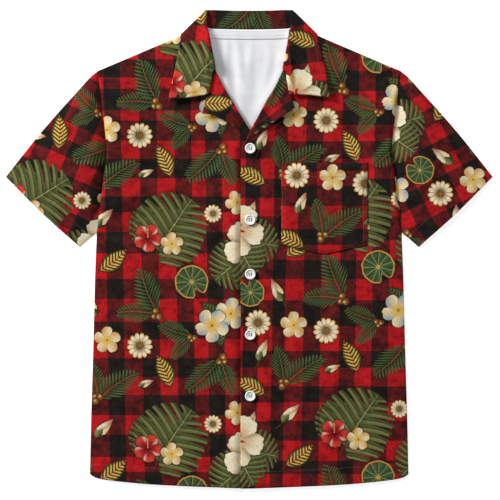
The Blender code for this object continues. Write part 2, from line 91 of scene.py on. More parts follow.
def feed(socket, value):
    if isinstance(value, Number):
        Sheet.tree.links.new(value.socket, socket)
    elif isinstance(value, tuple):
        socket.default_value = (*value, 1.0)
    else:
        socket.default_value = value


def feed_all(sockets, values):
    for socket, value in zip(sockets, values):
        feed(socket, value)


def calc(operation, *values):
    made = make("Math", operation=operation)
    feed_all(made.inputs, values)
    return Number(made.outputs[0])


def add_operator(name, operation):
    """Makes one of Python's operators work on a Number, on either side of it."""
    setattr(Number, f"__{name}__", lambda number, other: calc(operation, number, other))
    setattr(Number, f"__r{name}__", lambda number, other: calc(operation, other, number))


for operator, operation in (("add", "ADD"), ("sub", "SUBTRACT"), ("mul", "MULTIPLY"), ("truediv", "DIVIDE"),
                            ("pow", "POWER")):
    add_operator(operator, operation)


def function_of(operation):
    return lambda *values: calc(operation, *values)


sin, cos, away, fract, least, most = map(
    function_of, ("SINE", "COSINE", "ABSOLUTE", "FRACT", "MINIMUM", "MAXIMUM"))


def root(x):
    return calc("SQRT", most(x, 0.0))


def size(x, y):
    return calc("SQRT", calc("MULTIPLY_ADD", x, x, y * y))


def angle(x, y):
    return calc("ARCTAN2", y, x)


def smooth(x, low, high):
    """0 where x is at low and 1 where it is at high, with a soft step between them."""
    made = make("MapRange", interpolation_type="SMOOTHSTEP")
    feed_all(made.inputs, (x, low, high, 0.0, 1.0))
    return Number(made.outputs[0])


def under(x, soft=0.35):
    """1 where x is below zero, with an edge this soft."""
    return smooth(x, soft, -soft)


def blend(first, second, share):
    made = make("Mix", data_type="RGBA")
    feed_all((made.inputs["Factor"], made.inputs[6], made.inputs[7]), (share, first, second))
    return Number(made.outputs[2])


def painted(colour, *coats):
    """A colour under coats of paint. Each coat is a colour and how much of it there is, from 0 to 1."""
    for paint, share in coats:
        colour = blend(colour, paint, share)
    return colour


def turned(x, y, degrees, dx=0.0, dy=0.0):
    """Coordinates seen from a point at (dx, dy) that is turned by this angle."""
    c, s = math.cos(math.radians(degrees)), math.sin(math.radians(degrees))
    x, y = x - dx, y - dy
    return x * c + y * s, y * c - x * s


def noise(x, y, scale, detail=2.0, seed=0.0):
    """Soft noise from 0 to 1, with features about this many millimetres apart."""
    place = make("CombineXYZ")
    feed_all(place.inputs, (x * (1 / scale), y * (1 / scale), seed))
    made = make("TexNoise", noise_dimensions="3D")
    Sheet.tree.links.new(place.outputs[0], made.inputs["Vector"])
    made.inputs["Scale"].default_value = 1.0
    made.inputs["Detail"].default_value = detail
    return Number(made.outputs[0])


def place_in(socket, count=3):
    """The first parts of a place that a node gives, in millimetres."""
    split = make("SeparateXYZ")
    Sheet.tree.links.new(socket, split.inputs[0])
    return [Number(part) * 1000.0 for part in split.outputs[:count]]


def place_on(layer):
    """Where each point lies in a layer of coordinates."""
    return place_in(make("UVMap", uv_map=layer).outputs[0], 2)


def object_place():
    """Each point's own place."""
    return place_in(make("TexCoord").outputs["Object"])


def weave(u, v, pitch):
    """The small squares of a plain weave, from -1 to 1."""
    return sin(u * (math.tau / pitch)) * sin(v * (math.tau / pitch))


def bump(height, strength, depth):
    """Fine relief for a shader's Normal, this many millimetres deep where height is 1."""
    made = make("Bump")
    made.inputs["Strength"].default_value = strength
    made.inputs["Distance"].default_value = depth * MM
    feed(made.inputs["Height"], height)
    return Number(made.outputs[0])


def new_look(name):
    """A new material, to be filled with nodes."""
    made = bpy.data.materials.new(name)
    made.use_nodes = True
    Sheet.tree = made.node_tree
    return made


def finish_look(made, colour, roughness, **others):
    """Gives a material its colour, roughness and other inputs, with _ for each space in their names."""
    shader = made.node_tree.nodes["Principled BSDF"]
    values = {"Base_Color": colour, "Roughness": roughness, **others}
    for name, value in values.items():
        feed(shader.inputs[name.replace("_", " ")], value)
    return made


def srgb(*screen):
    """A colour given as on a screen, 0 to 255, in the linear values that a shader takes."""
    return tuple(c / 255 / 12.92 if c < 10.3 else ((c / 255 + 0.055) / 1.055) ** 2.4 for c in screen)


# The print

CREAM = srgb(228, 206, 160)
PALE = srgb(240, 226, 192)
OLIVE = srgb(94, 100, 54)
OLIVE_LIGHT = srgb(134, 136, 80)
OLIVE_DARK = srgb(46, 50, 27)
FERN = srgb(60, 84, 46)
FERN_LIGHT = srgb(108, 128, 76)
FERN_DARK = srgb(25, 37, 23)
GOLD = srgb(206, 150, 72)
BROWN = srgb(92, 52, 26)
INK = srgb(38, 26, 18)
BLUE = srgb(140, 164, 172)
YELLOW = srgb(222, 176, 62)
CRIMSON = srgb(168, 26, 30)

# The check's repeat across and along, in millimetres, for how soft and ragged its edges are
CHECK_REPEAT = (54.0, 61.0)


def check(u, v, column, row, wobble):
    """The check: a dark band in each direction, black where two cross. Column and row are in repeats."""
    bands = []
    for place, slow_u, slow_v, repeat, seed in ((column, 1.0, 0.22, CHECK_REPEAT[0], 3.0),
                                                (row, 0.22, 1.0, CHECK_REPEAT[1], 7.0)):
        ragged = (noise(u * slow_u, v * slow_v, 1.1, 2.0, seed) - 0.5) * 2.2
        band = (away(fract(place + 0.25) - 0.5) - 0.25) * repeat
        bands.append(under(band + ragged + (wobble - 0.5) * 1.6, 0.8))
    brushed = noise(u, v * 0.3, 2.2, 3.0, 11.0) * 0.6 + noise(u * 0.3, v, 2.2, 3.0, 12.0) * 0.4
    worn = noise(u, v, 15.0, 4.0, 5.0) * 0.55 + brushed * 0.45
    return painted(
        blend(srgb(134, 13, 19), srgb(192, 25, 30), smooth(worn, 0.36, 0.56)),
        (blend(srgb(48, 17, 17), srgb(112, 26, 27), smooth(worn, 0.36, 0.62)), most(*bands)),
        (blend(srgb(20, 18, 15), srgb(42, 36, 29), smooth(worn, 0.40, 0.72)), bands[0] * bands[1]),
    )


def shaded(ground, reach, strength=0.55):
    """The soft dark edge that the print has round each flower and leaf."""
    return blend(ground, INK, smooth(reach, 4.0, -0.5) * strength)


def stamen(ground, x, y, radius):
    """A hibiscus flower's long stamen, with yellow grains at its tip."""
    along, across = turned(x, y, 62.0)
    bend = across - along * along * (0.12 / radius)
    stem = most(away(bend) - 1.0 - along * 0.004, away(along - 0.34 * radius) - 0.34 * radius)
    tip_x, tip_y = along - 0.62 * radius, bend
    head = size(tip_x * 0.55, tip_y) - 0.085 * radius
    grain = cos(tip_x * 2.3 + tip_y) * cos(tip_y * 2.3 - tip_x * 0.6)
    return painted(
        ground,
        (INK, smooth(stem, 1.1, 0.2) * 0.6),
        (srgb(232, 140, 96), under(stem, 0.3)),
        (BROWN, under(head - 0.3) * 0.5),
        (YELLOW, under(head) * smooth(grain, -0.1, 0.2)),
    )


def hibiscus(ground, x, y, radius, tone, petal=CREAM, edge=PALE, throat=CRIMSON):
    """A flower with five broad ruffled petals, a dark throat and a long stamen."""
    r, a = size(x, y), angle(x, y)
    turn = fract(a * (5 / math.tau))
    side = away(turn - 0.5) * 2
    ruffle = sin(a * 19 + tone * 3) * 0.018 + sin(a * 31) * 0.012
    out = r - (1 - 0.30 * side ** 3.5 + ruffle) * radius
    share = r * (1 / radius)
    vein = away(fract(turn * 7 + share * 0.25) - 0.5)
    light = smooth(turn, 0.0, 0.10) * smooth(turn, 0.36, 0.12) * smooth(share, 0.3, 0.7)
    heart = share - 0.13 - 0.16 * smooth(side, 0.9, 0.0) ** 2
    face = painted(
        blend(edge, petal, smooth(share + tone * 0.3, 0.95, 0.55)),
        (blend(petal, throat, 0.38), smooth(share, 0.62, 0.2) * 0.8),
        (BROWN, smooth(vein, 0.10, 0.02) * smooth(share, 1.0, 0.25) * 0.30),
        (blend(petal, BROWN, 0.65), smooth(turn, 0.70, 0.99) * smooth(share, 0.15, 0.5) * 0.8),
        (srgb(252, 244, 224), light * 0.45),
        (throat, under(heart, 0.05)),
        (srgb(70, 8, 14), under(share - 0.09, 0.05)),
        (BROWN, smooth(out, -1.3, -0.3) * 0.75),
    )
    return stamen(painted(shaded(ground, out), (face, under(out))), x, y, radius)


def monstera(ground, x, y, length, tone):
    """A broad split leaf. Its stalk joins at (0, 0) and its tip is at +Y."""
    r, a = size(x, y), away(angle(y, x))
    lobes = 0.30 + 0.70 * (cos(a * 0.5) ** 2.0)
    rim = (lobes - 0.34 * smooth(a, 2.55, 3.14)) * length
    reach = r / rim
    across = away(x)
    ray = y - across * 0.62 + across * across * (0.35 / length)
    pitch = length * 0.155
    turn = fract(ray * (1 / pitch) + 0.35)
    slit_half = smooth(reach, 0.45, 1.15) * 0.24
    slit = least((slit_half - away(turn - 0.5)) * pitch, across - 0.10 * length)
    out = most(r - rim + sin(ray * (math.tau / pitch)) * 0.5, slit)
    ridge = least(turn, 1 - turn) * pitch
    face = painted(
        blend(OLIVE_DARK, OLIVE, smooth(turn, 0.02, 0.5)),
        (OLIVE_LIGHT, smooth(turn, 0.55, 0.95) * 0.75),
        (OLIVE, tone * 0.5),
        (OLIVE_DARK, smooth(across, 0.16 * length, 0.0) * 0.55),
        (OLIVE_LIGHT, smooth(ridge, 0.7, 0.25) * 0.7 * smooth(reach, 1.0, 0.7)),
        (srgb(196, 186, 128), under(across - 0.75 + y * (0.5 / length), 0.3) * 0.85),
        (OLIVE_DARK, smooth(out, -1.4, -0.3) * 0.8),
    )
    stalk = most(away(x - y * y * (0.5 / length)) - 0.9, away(y + 0.17 * length) - 0.17 * length)
    return painted(shaded(ground, out, 0.5), (face, under(out)), (BROWN, under(stalk)))


def fern(ground, x, y, length, tone, bend=0.22):
    """A spray with paired leaflets. It starts at (0, 0) and its tip is at +Y."""
    off = x - y * y * (bend / length)
    across = away(off)
    ray = y - across * 0.85
    share = ray * (1 / length)
    pitch = length * 0.082
    reach = (smooth(share, -0.06, 0.22) * 0.36 * length) * root(1.02 - share) + 0.01
    q = across / reach
    turn = away(fract(ray * (1 / pitch) + smooth(off, -0.1, 0.1) * 0.5) - 0.5) * pitch
    half = most((root(q) * (1.02 - q) * 0.98 + sin(across * 2.4) * 0.28 * 0.12) * pitch, -2.0)
    out = most(turn - half, most(-share - 0.02, share - 1.0) * length)
    spine = most(across - 0.75, most(-y, y - length))
    face = painted(
        blend(FERN, FERN_DARK, smooth(q, 0.55, 0.0)),
        (FERN_LIGHT, smooth(turn, 0.75, 0.15) * 0.55),
        (FERN_LIGHT, tone * smooth(q, 0.4, 1.0) * 0.8),
        (FERN_DARK, smooth(out, -0.8, 0.1) * 0.7),
    )
    return painted(
        shaded(ground, least(out, spine), 0.5),
        (face, under(out, 0.3)),
        (blend(BROWN, GOLD, 0.25), under(spine, 0.3)),
    )


def berry(ground, x, y, radius, _):
    """A round gold-brown berry."""
    out = size(x, y) - radius
    lit = size(x + radius * 0.3, y - radius * 0.35) * (1 / radius)
    face = painted(
        blend(srgb(216, 168, 96), srgb(128, 76, 34), smooth(lit, 0.1, 0.7)),
        (INK, smooth(lit, 0.9, 1.5) * 0.8),
        (INK, smooth(out, -0.9, -0.1) * 0.6),
    )
    return blend(shaded(ground, out, 0.5), face, under(out, 0.3))


def daisy(ground, x, y, radius, tone):
    """A round flower of narrow petals in a gold ring of tips, with a dark green centre."""
    r, a = size(x, y), angle(x, y)
    share = r * (1 / radius)
    side = away(fract(a * (13 / math.tau)) - 0.5) * 2
    out = r - (1 - 0.24 * side ** 3.0) * radius
    core = share - 0.30
    grain = cos(x * 1.9 + y * 0.5) * cos(y * 1.9 - x * 0.5)
    centre = blend(OLIVE_DARK, GOLD, smooth(grain, 0.0, 0.5))
    face = painted(
        blend(CREAM, PALE, smooth(share + tone * 0.3, 0.5, 0.95)),
        (BROWN, smooth(side, 0.72, 1.0) * 0.75),
        (BROWN, smooth(share, 0.62, 0.3) * 0.6),
        (GOLD, smooth(out, -2.6, -1.8)),
        (INK, smooth(out, -0.8, -0.1) * 0.8),
        (blend(centre, INK, smooth(core, -0.10, 0.0) * 0.7), under(core, 0.03)),
    )
    return blend(shaded(ground, out, 0.6), face, under(out))


def share_along(y, length):
    return least(most(y * (1 / length), 0.0), 1.0)


def beyond_ends(y, length):
    """How far y is outside a shape that starts at 0 and is this long."""
    return away(y - length / 2) - length / 2


def bud(ground, x, y, length, tone):
    """A closed bud with a pointed tip, held by green sepals on a stalk. Its tip is at +Y."""
    share = share_along(y, length)
    bent = x - share * share * length * 0.10
    half = root(share) * (1.0 - share) * (0.56 * length) + 0.02
    out = most(away(bent) - half, beyond_ends(y, length))
    q = bent / half
    overlap = q - (share - 0.35) * 1.9
    face = painted(
        blend(CREAM, PALE, smooth(q + tone * 0.6, 0.9, -0.3)),
        (blend(CREAM, BROWN, 0.55), smooth(overlap, -0.9, -0.05) * under(overlap, 0.04) * 0.8),
        (CRIMSON, smooth(share + tone * 0.25, 0.62, 1.05) * 0.75),
        (BROWN, smooth(out, -1.3, -0.2) * 0.8),
    )
    sepal = share - 0.20 - 0.24 * away(fract(q * 0.75) - 0.5) * 2
    cup = most(out - 0.5, sepal * length)
    green = blend(OLIVE_LIGHT, OLIVE_DARK, smooth(q + tone * 0.4, -0.5, 0.9))
    stalk = most(away(x + y * y * 0.012) - 0.85, away(y + 0.18 * length) - 0.19 * length)
    return painted(
        shaded(ground, out, 0.6),
        (face, under(out)),
        (blend(green, INK, smooth(cup, -1.1, -0.1) * 0.7), under(cup)),
        (BROWN, under(stalk)),
    )


def croton(ground, x, y, length, tone, main=YELLOW, light=PALE, vein=CRIMSON):
    """A narrow leaf with pale patches between its side veins. It starts at (0, 0) and its tip is at +Y."""
    share = share_along(y, length)
    bent = x - (share - share * share) * length * 0.16
    wave = sin(y * (math.tau * 6 / length)) * 0.35
    half = share * (1.0 - share) * (1.25 - 0.45 * share) * (0.92 * length) + wave * share * (1.0 - share) * 3
    out = most(away(bent) - half, beyond_ends(y, length))
    ray = away(fract((y - away(bent) * 0.8) * (9 / length)) - 0.5)
    face = painted(
        blend(OLIVE_DARK, main, smooth(ray + tone * 0.25, 0.52, 0.22)),
        (light, smooth(ray + tone * 0.3, 0.30, 0.08) * 0.6),
        (OLIVE_DARK, smooth(out, -0.075 * length, -0.02 * length) * 0.8),
        (vein, under(away(bent) - 0.55, 0.35) * 0.9),
        (INK, smooth(out, -0.9, -0.1) * 0.85),
    )
    stalk = most(away(x) - 0.75, away(y + 0.07 * length) - 0.09 * length)
    return painted(shaded(ground, out, 0.6), (face, under(out)), (BROWN, under(stalk)))


def plumeria(ground, x, y, radius, tone, shade=BLUE, phase=0.0):
    """A flower with five plain petals that overlap like a pinwheel."""
    r, a = size(x, y), angle(x, y)
    share = r * (1 / radius)
    turn = fract(a * (5 / math.tau) + share * 0.22 + phase)
    side = away(turn - 0.5) * 2
    out = r - (1 - 0.36 * side ** 2.6) * radius
    face = painted(
        blend(CREAM, shade, smooth(turn + tone * 0.2, 0.40, 0.95) * smooth(share, 0.15, 0.8) * 0.9),
        (PALE, smooth(turn, 0.35, 0.08) * 0.8),
        (BROWN, smooth(turn, 0.93, 1.0) * 0.6),
        (YELLOW, smooth(share, 0.62, 0.16) * 0.85),
        (BROWN, smooth(share, 0.14, 0.02) * 0.7),
        (BROWN, smooth(out, -1.2, -0.2) * 0.8),
    )
    return blend(shaded(ground, out, 0.55), face, under(out))


def pad(ground, x, y, radius, tone):
    """A round veined leaf, dark green with a coppery rim."""
    r, a = size(x, y), angle(y, x)
    notch = smooth(away(a), 2.75, 3.14) * 0.5
    share = r * (1 / radius)
    out = (share - 1 + notch + sin(a * 9) * 0.012) * radius
    turn = fract(a * (11 / math.tau))
    vein = least(turn, 1 - turn) * share * 4
    face = painted(
        blend(FERN, FERN_DARK, smooth(turn, 0.1, 0.9)),
        (FERN_LIGHT, tone * 0.4),
        (srgb(150, 160, 104), smooth(vein, 0.22, 0.06) * 0.8),
        (GOLD, smooth(out, -2.9, -2.1)),
        (INK, smooth(out, -0.9, -0.1) * 0.8),
        (GOLD, smooth(share, 0.14, 0.10)),
    )
    return blend(shaded(ground, out, 0.6), face, under(out))


def drawn(shape, length, degrees=0, dx=0, dy=0, **options):
    """A part of a motif: a shape of this length or radius, turned, then moved, in millimetres."""
    return lambda ground, x, y, tone: shape(ground, *turned(x, y, degrees, dx, dy), length, tone, **options)


RED_PETALS = {"petal": CRIMSON, "edge": srgb(214, 60, 52), "throat": srgb(90, 8, 14)}
GREEN_LEAF = {"main": OLIVE, "light": OLIVE_LIGHT, "vein": OLIVE_DARK}

# How large each motif is drawn, how far it reaches across and along in millimetres, and its parts, which
# are drawn in this order
MOTIFS = {
    "bouquet_cream": (0.92, 70, 62, [
        drawn(monstera, 62, 118, -14, -6),
        drawn(monstera, 58, -112, 14, -8),
        drawn(monstera, 58, 196, 0, -14),
        drawn(bud, 30, -24, 30, 30),
        drawn(hibiscus, 46, 12, 4, 12),
    ]),
    "bouquet_olive": (0.90, 62, 70, [
        drawn(monstera, 60, 150, -8, 6),
        drawn(monstera, 96, -20, 6, -34),
        drawn(hibiscus, 25, 40, -20, -30, **RED_PETALS),
        drawn(plumeria, 21, 10, 24, -30, shade=GOLD),
    ]),
    "fern_spray": (0.84, 36, 46, [
        drawn(fern, 74, 24, -8, -40, bend=-0.2),
        drawn(fern, 92, -18, -6, -42),
        drawn(berry, 6.0, 0, -14, -38),
        drawn(berry, 6.4, 0, -4, -34),
        drawn(berry, 6.8, 0, -9, -46),
    ]),
    "plumeria_pair": (0.95, 44, 44, [
        drawn(croton, 52, 60, 4, -4, **GREEN_LEAF),
        drawn(croton, 50, 190, 0, 4, **GREEN_LEAF),
        drawn(plumeria, 27, 0, 13, 14),
        drawn(plumeria, 29, 0, -14, -12, phase=0.4),
    ]),
    "blossom": (1.0, 25, 25, [drawn(plumeria, 22, shade=GOLD, phase=0.2)]),
    "daisy": (1.0, 23, 23, [drawn(daisy, 21)]),
    "bud": (1.0, 17, 29, [drawn(bud, 40, dy=-14)]),
    "croton": (1.0, 17, 32, [drawn(croton, 56, dy=-26)]),
    "pad": (1.0, 28, 28, [drawn(pad, 27)]),
}


# Looks

def printed(name, motif=None):
    """Cloth printed with the check and, where one is named, a motif."""
    made = new_look(name)
    u, v = place_on("cloth")
    column, row = (part * 0.001 for part in place_on("check"))
    wobble = noise(u, v, 5.0, 2.0)
    colour = check(u, v, column, row, wobble)
    if motif:
        scale, _, _, parts = MOTIFS[motif]
        x, y = place_on("motif")
        shift = (wobble - 0.5) * 2.2
        x, y = (x + shift) * (1 / scale), (y - shift) * (1 / scale)
        tone = noise(u, v, 3.2, 3.0, 2.0)
        for draw in parts:
            colour = draw(colour, x, y, tone)
    slub = noise(u, v * 0.16, 0.8, 2.0, 21.0) * 0.6 + noise(u * 0.16, v, 0.8, 2.0, 22.0) * 0.4
    fine = weave(u, v, 0.8)
    darker = blend(colour, (0.0, 0.0, 0.0), 0.26)
    colour = blend(colour, darker, smooth(slub + fine * 0.03, 0.56, 0.38))
    return finish_look(made, colour, 0.9, Specular_IOR_Level=0.13, Normal=bump(slub + fine * 0.12, 0.16, 0.2))


def plain_cloth(name, colour, dark):
    """White or one-coloured cloth, with its weave and a little unevenness."""
    made = new_look(name)
    u, v = place_on("cloth")
    slub = noise(u * 0.16, v, 0.8, 2.0, 21.0) * 0.5 + noise(u, v * 0.16, 0.8, 2.0, 22.0) * 0.5
    soft = noise(u, v, 26.0, 3.0, 4.0)
    tone = blend(dark, colour, smooth(slub * 0.4 + soft * 0.6, 0.34, 0.60))
    relief = bump(weave(u, v, 0.9) * 0.2 + slub, 0.12, 0.12)
    return finish_look(made, tone, 0.9, Specular_IOR_Level=0.2, Normal=relief)


def button_look():
    """White shell-like plastic with a faint swirl."""
    made = new_look("button_white")
    x, y, z = object_place()
    swirl = noise(x, y + z, 4.5, 3.0, 6.0)
    tone = blend(srgb(226, 226, 222), srgb(250, 250, 248), smooth(swirl, 0.36, 0.62))
    rough = smooth(swirl, 0.2, 0.8) * 0.14 + 0.22
    return finish_look(made, tone, rough, Coat_Weight=0.35, Coat_Roughness=0.15)


def hole_shade_look():
    """Painted shade inside a button's holes: darker the deeper down they go."""
    made = new_look("button_hole_painted_shade")
    x, y, z = object_place()
    # Painted shade: the hole walls darken towards their bottom
    painted_shade = smooth(z + noise(x, y, 0.8, 2.0, 9.0) * 0.4, 2.2, 0.2)
    return finish_look(made, blend(srgb(96, 92, 90), srgb(24, 22, 22), painted_shade), 0.8)


def thread_look(name, colour, dark):
    """Twisted sewing thread."""
    made = new_look(name)
    x, y, z = object_place()
    twist = sin((x + y) * (math.tau / 0.5) + z * 3.0)
    return finish_look(made, blend(dark, colour, smooth(twist, -0.7, 0.5)), 0.6, Sheen_Weight=0.2)


FLOOR_GLOW = 0.62


def floor_look():
    made = new_look("pale_floor")
    x, y, _ = object_place()
    grain = blend(srgb(249, 249, 249), srgb(253, 253, 253), noise(x, y, 3.0, 2.0, 8.0))
    return finish_look(made, grain, 0.9, Specular_IOR_Level=0.1, Emission_Color=(1.0, 1.0, 1.0),
                       Emission_Strength=FLOOR_GLOW)


PRINTS = [printed("print_" + name, name) for name in MOTIFS] + [printed("print_check")]
WHITE = plain_cloth("white_cloth_inside", srgb(234, 235, 237), srgb(224, 225, 227))
RED_THREAD = thread_look("thread_dusty_red", srgb(142, 74, 70), srgb(74, 34, 32))
DARK_THREAD = thread_look("thread_dark", srgb(84, 60, 54), srgb(34, 24, 22))
WHITE_THREAD = thread_look("thread_white", srgb(214, 214, 212), srgb(160, 160, 158))
GREY_THREAD = thread_look("thread_grey", srgb(120, 120, 120), srgb(62, 62, 64))


# The shirt's sizes

CLOTH = 1.0 * MM
GAP = 0.35 * MM
LAYER = CLOTH + GAP
SEAM = 0.4 * MM
SEAM_STEP = 1.3 * MM

HEM_CURVE = MM * np.array([
    (0, -383.2), (80, -380.4), (160, -376.4), (223, -370.2), (246, -365.8), (254.6, -360),
])
SIDE_SEAM = MM * np.array([(254.6, -360), (252.6, -271), (249.2, -156), (246.2, -40), (243.6, 26)])
ARMHOLE = MM * np.array([
    (243.6, 26), (239.8, 54), (231.8, 120), (227.8, 155), (230.4, 190), (238.6, 257), (242.4, 284),
])
NECK_POINT = MM * np.array((72.0, 356.4))
SHOULDER_TIP = ARMHOLE[-1]
SHOULDER = np.array([NECK_POINT, SHOULDER_TIP])
BACK_NECK = MM * np.array([(0, 350.3), (40, 350.9), (62, 351.8), (68, 353.6), (72, 356.4)])
FRONT_NECK = MM * np.array([
    (57, 287), (62, 291.5), (69.6, 305), (74.6, 321), (76, 335), (74.6, 347), (72, 356.4),
])

OVERLAP_LEFT_X = -13.6 * MM
OVERLAP_RIGHT_X = 15.5 * MM
BREAK_Y = 168.0 * MM
# The left front's lap over the right one dies out over this stretch across, with what is tucked there
LAP_FADE_X = (26.0 * MM, 60.0 * MM)
ROLL_LEFT = MM * np.array([(-4.6, 175.6), (2.4, 190.5), (14.2, 211), (28.2, 237.7), (41, 258), (51.7, 281)])
ROLL_RIGHT = MM * np.array([
    (-5.4, 183), (-0.8, 190.5), (14.9, 215.8), (26.7, 235.9), (39.7, 257), (53.6, 284.5),
])
FRONT_EDGE_INSET = 1.9 * MM
FRONT_SWELL = 1.5 * MM
# The right front beside the placket: it rises over the first stretch across, and over the second it is
# pressed by this share. Both end over the third stretch, up the shirt, where the lapels break.
UNDER_FOLD = 2.6 * MM
UNDER_RISE_X = (-52.0 * MM, -22.0 * MM)
UNDER_PRESS_X = (-18.6 * MM, -14.2 * MM)
UNDER_PRESS = 0.93
BREAK_FADE_Y = (150.0 * MM, 190.0 * MM)
V_POINT = MM * np.array((1.5, 190.0))
V_CLEAR = 18.0 * MM
V_FADE = 64.0 * MM
ROLL_CLEAR = 13.0 * MM
ROLL_FADE = 42.0 * MM
ARMHOLE_RISE = 6.8 * MM
ARMHOLE_CREST = 9.0 * MM
ARMHOLE_REACH = 66.0 * MM
# The fold along the armhole is whole between the first two heights, and ends at the third
ARMHOLE_FOLD_Y = (76.0 * MM, 205.0 * MM, 280.0 * MM)
ARMHOLE_WAVE = 17.0 * MM
HEM_STITCH_Y = -356.6 * MM
HEM_STITCH_RISE = 13.0 * MM
HEM_STITCH_SIDE = 248.0 * MM

SLEEVE_TOP = MM * np.array([
    (242.4, 284), (254.9, 273.4), (270.8, 255.8), (302.7, 220.6), (334.7, 183.8), (366.7, 144), (389.4, 115),
])
CUFF = MM * np.array([(270.9, 2.5), (329.9, 55.6), (389.4, 115)])
UNDERARM = MM * np.array([(243.6, 26), (255, 16.6), (270.9, 2.5)])
CUFF_HEM = 24.0 * MM
SLEEVE_COLUMNS = 70

COLLAR_ROLL = MM * np.array([
    (55.4, 287.3), (58.3, 300), (62.8, 323), (65.4, 338.8), (66.8, 351.5), (67.3, 366), (67.4, 380.6),
])
COLLAR_CORNER = MM * np.array((69.3, 382.4))
COLLAR_SHOULDER = MM * np.array((110.0, 342.3))
# The collar goes from under the back, round the shoulder's fold, to the top of the front
SHOULDER_WAY = unit(COLLAR_SHOULDER - COLLAR_CORNER)
WRAP_OUTWARD = -clockwise(SHOULDER_WAY)
WRAP_RADIUS = 1.5 * LAYER
WRAP_INSET = WRAP_OUTWARD * (WRAP_RADIUS + CLOTH / 2)
LEAF_END = COLLAR_SHOULDER - WRAP_INSET
STAND_AXIS_X = 67.2 * MM
STAND_NECK_Y = 354.8 * MM
COLLAR_TOP_DIP = 1.4 * MM
FALL_DEPTH_Y = 313.0 * MM
FALL_CLEAR = 9.0 * MM
FALL_FADE = 52.0 * MM
LEAF_LIFT = 7.5 * MM
ROLL_LIFT = 3.4 * MM
LAPEL_LIFT = 6.5 * MM
LAPEL_UNDER = 9.0 * MM
HIDDEN_END = 8.0 * MM
HIDDEN_DROP = 1.3 * MM
COLLAR_ROWS = 8
LEAF_COLUMNS = 7
# How many degrees the print turns with each leaf
LEAF_TURN = 7.0
# The collar lies on a front beyond this x, below this y and above this height
LEAF_ON_FRONT = (52.0 * MM, 336.0 * MM, 3.0 * MM)

SIDES = {
    "right": {
        "sign": -1,
        "notch": (66.2, 246),
        "leaf_bottom": (98.9, 240.9),
        "leaf_point": (129.1, 236.4),
        "leaf_edge": (119.0, 285),
        "lapel_corner": (75.4, 215.3),
        "lapel_edge": ((59.8, 214.8), (40.6, 204.7), (17.6, 191), (0.5, 177.5)),
        "roll": ROLL_RIGHT,
        "armhole_roll": 4.5 * MM,
        "cap_swell": 9.5 * MM,
        "cap_reach": 11 * MM,
    },
    "left": {
        "sign": 1,
        "notch": (65.4, 246.3),
        "leaf_bottom": (98.9, 245),
        "leaf_point": (129.0, 240.9),
        "leaf_edge": (120.2, 292),
        "lapel_corner": (73.1, 225.3),
        "lapel_edge": ((60.3, 216.2), (38.9, 201.2), (20.6, 189.5), (-3.4, 172.6)),
        "roll": ROLL_LEFT,
        "armhole_roll": 2.8 * MM,
        "cap_swell": 6.5 * MM,
        "cap_reach": 26 * MM,
    },
}

TAPE = 0.35 * MM
TAPE_DEPTH = 15.0 * MM
TAPE_CLEAR = 1.6 * MM

POCKET_X = (51.7 * MM, 188.8 * MM)
POCKET_TOP_Y = 137.2 * MM
POCKET_SIDE_Y = 6.0 * MM
POCKET_POINT_Y = -9.2 * MM
POCKET_HEM = 22.4 * MM
POCKET_MOUTH = 2.8 * MM
POCKET_DIP = 1.5 * MM

BUTTON_X = 1.8 * MM
BUTTON_Y = np.array((160.1, 46.2, -40.6, -137.2, -235.0)) * MM
BUTTON_RADIUS = 8.5 * MM
BUTTON_THICKNESS = 3.0 * MM
BUTTON_HOLE_RADIUS = 1.0 * MM
BUTTON_HOLE_SPACING = 3.6 * MM
BUTTON_TURNS = (4, -7, 11, -3, 8)
# Half of the button's section, from its middle below to its middle above, in shares of its radius and
# its thickness
BUTTON_PROFILE = (
    (0, 0), (0.62, 0), (0.92, 0.2), (1, 0.5), (0.96, 0.88), (0.86, 1), (0.75, 0.9), (0.64, 0.68),
    (0.56, 0.62), (0, 0.6),
)

STITCH = 2.3 * MM
STITCH_GAP = 0.9 * MM
STITCH_WIDTH = 0.5 * MM
STITCH_LIFT = 0.12 * MM
# How far the rows of stitches run from their edges
LAPEL_STITCHES = 6.5 * MM
COLLAR_STITCHES = 7.5 * MM
POCKET_STITCHES = (1.6 * MM, 6.0 * MM)
TAPE_STITCHES = (1.4 * MM, 9.4 * MM)

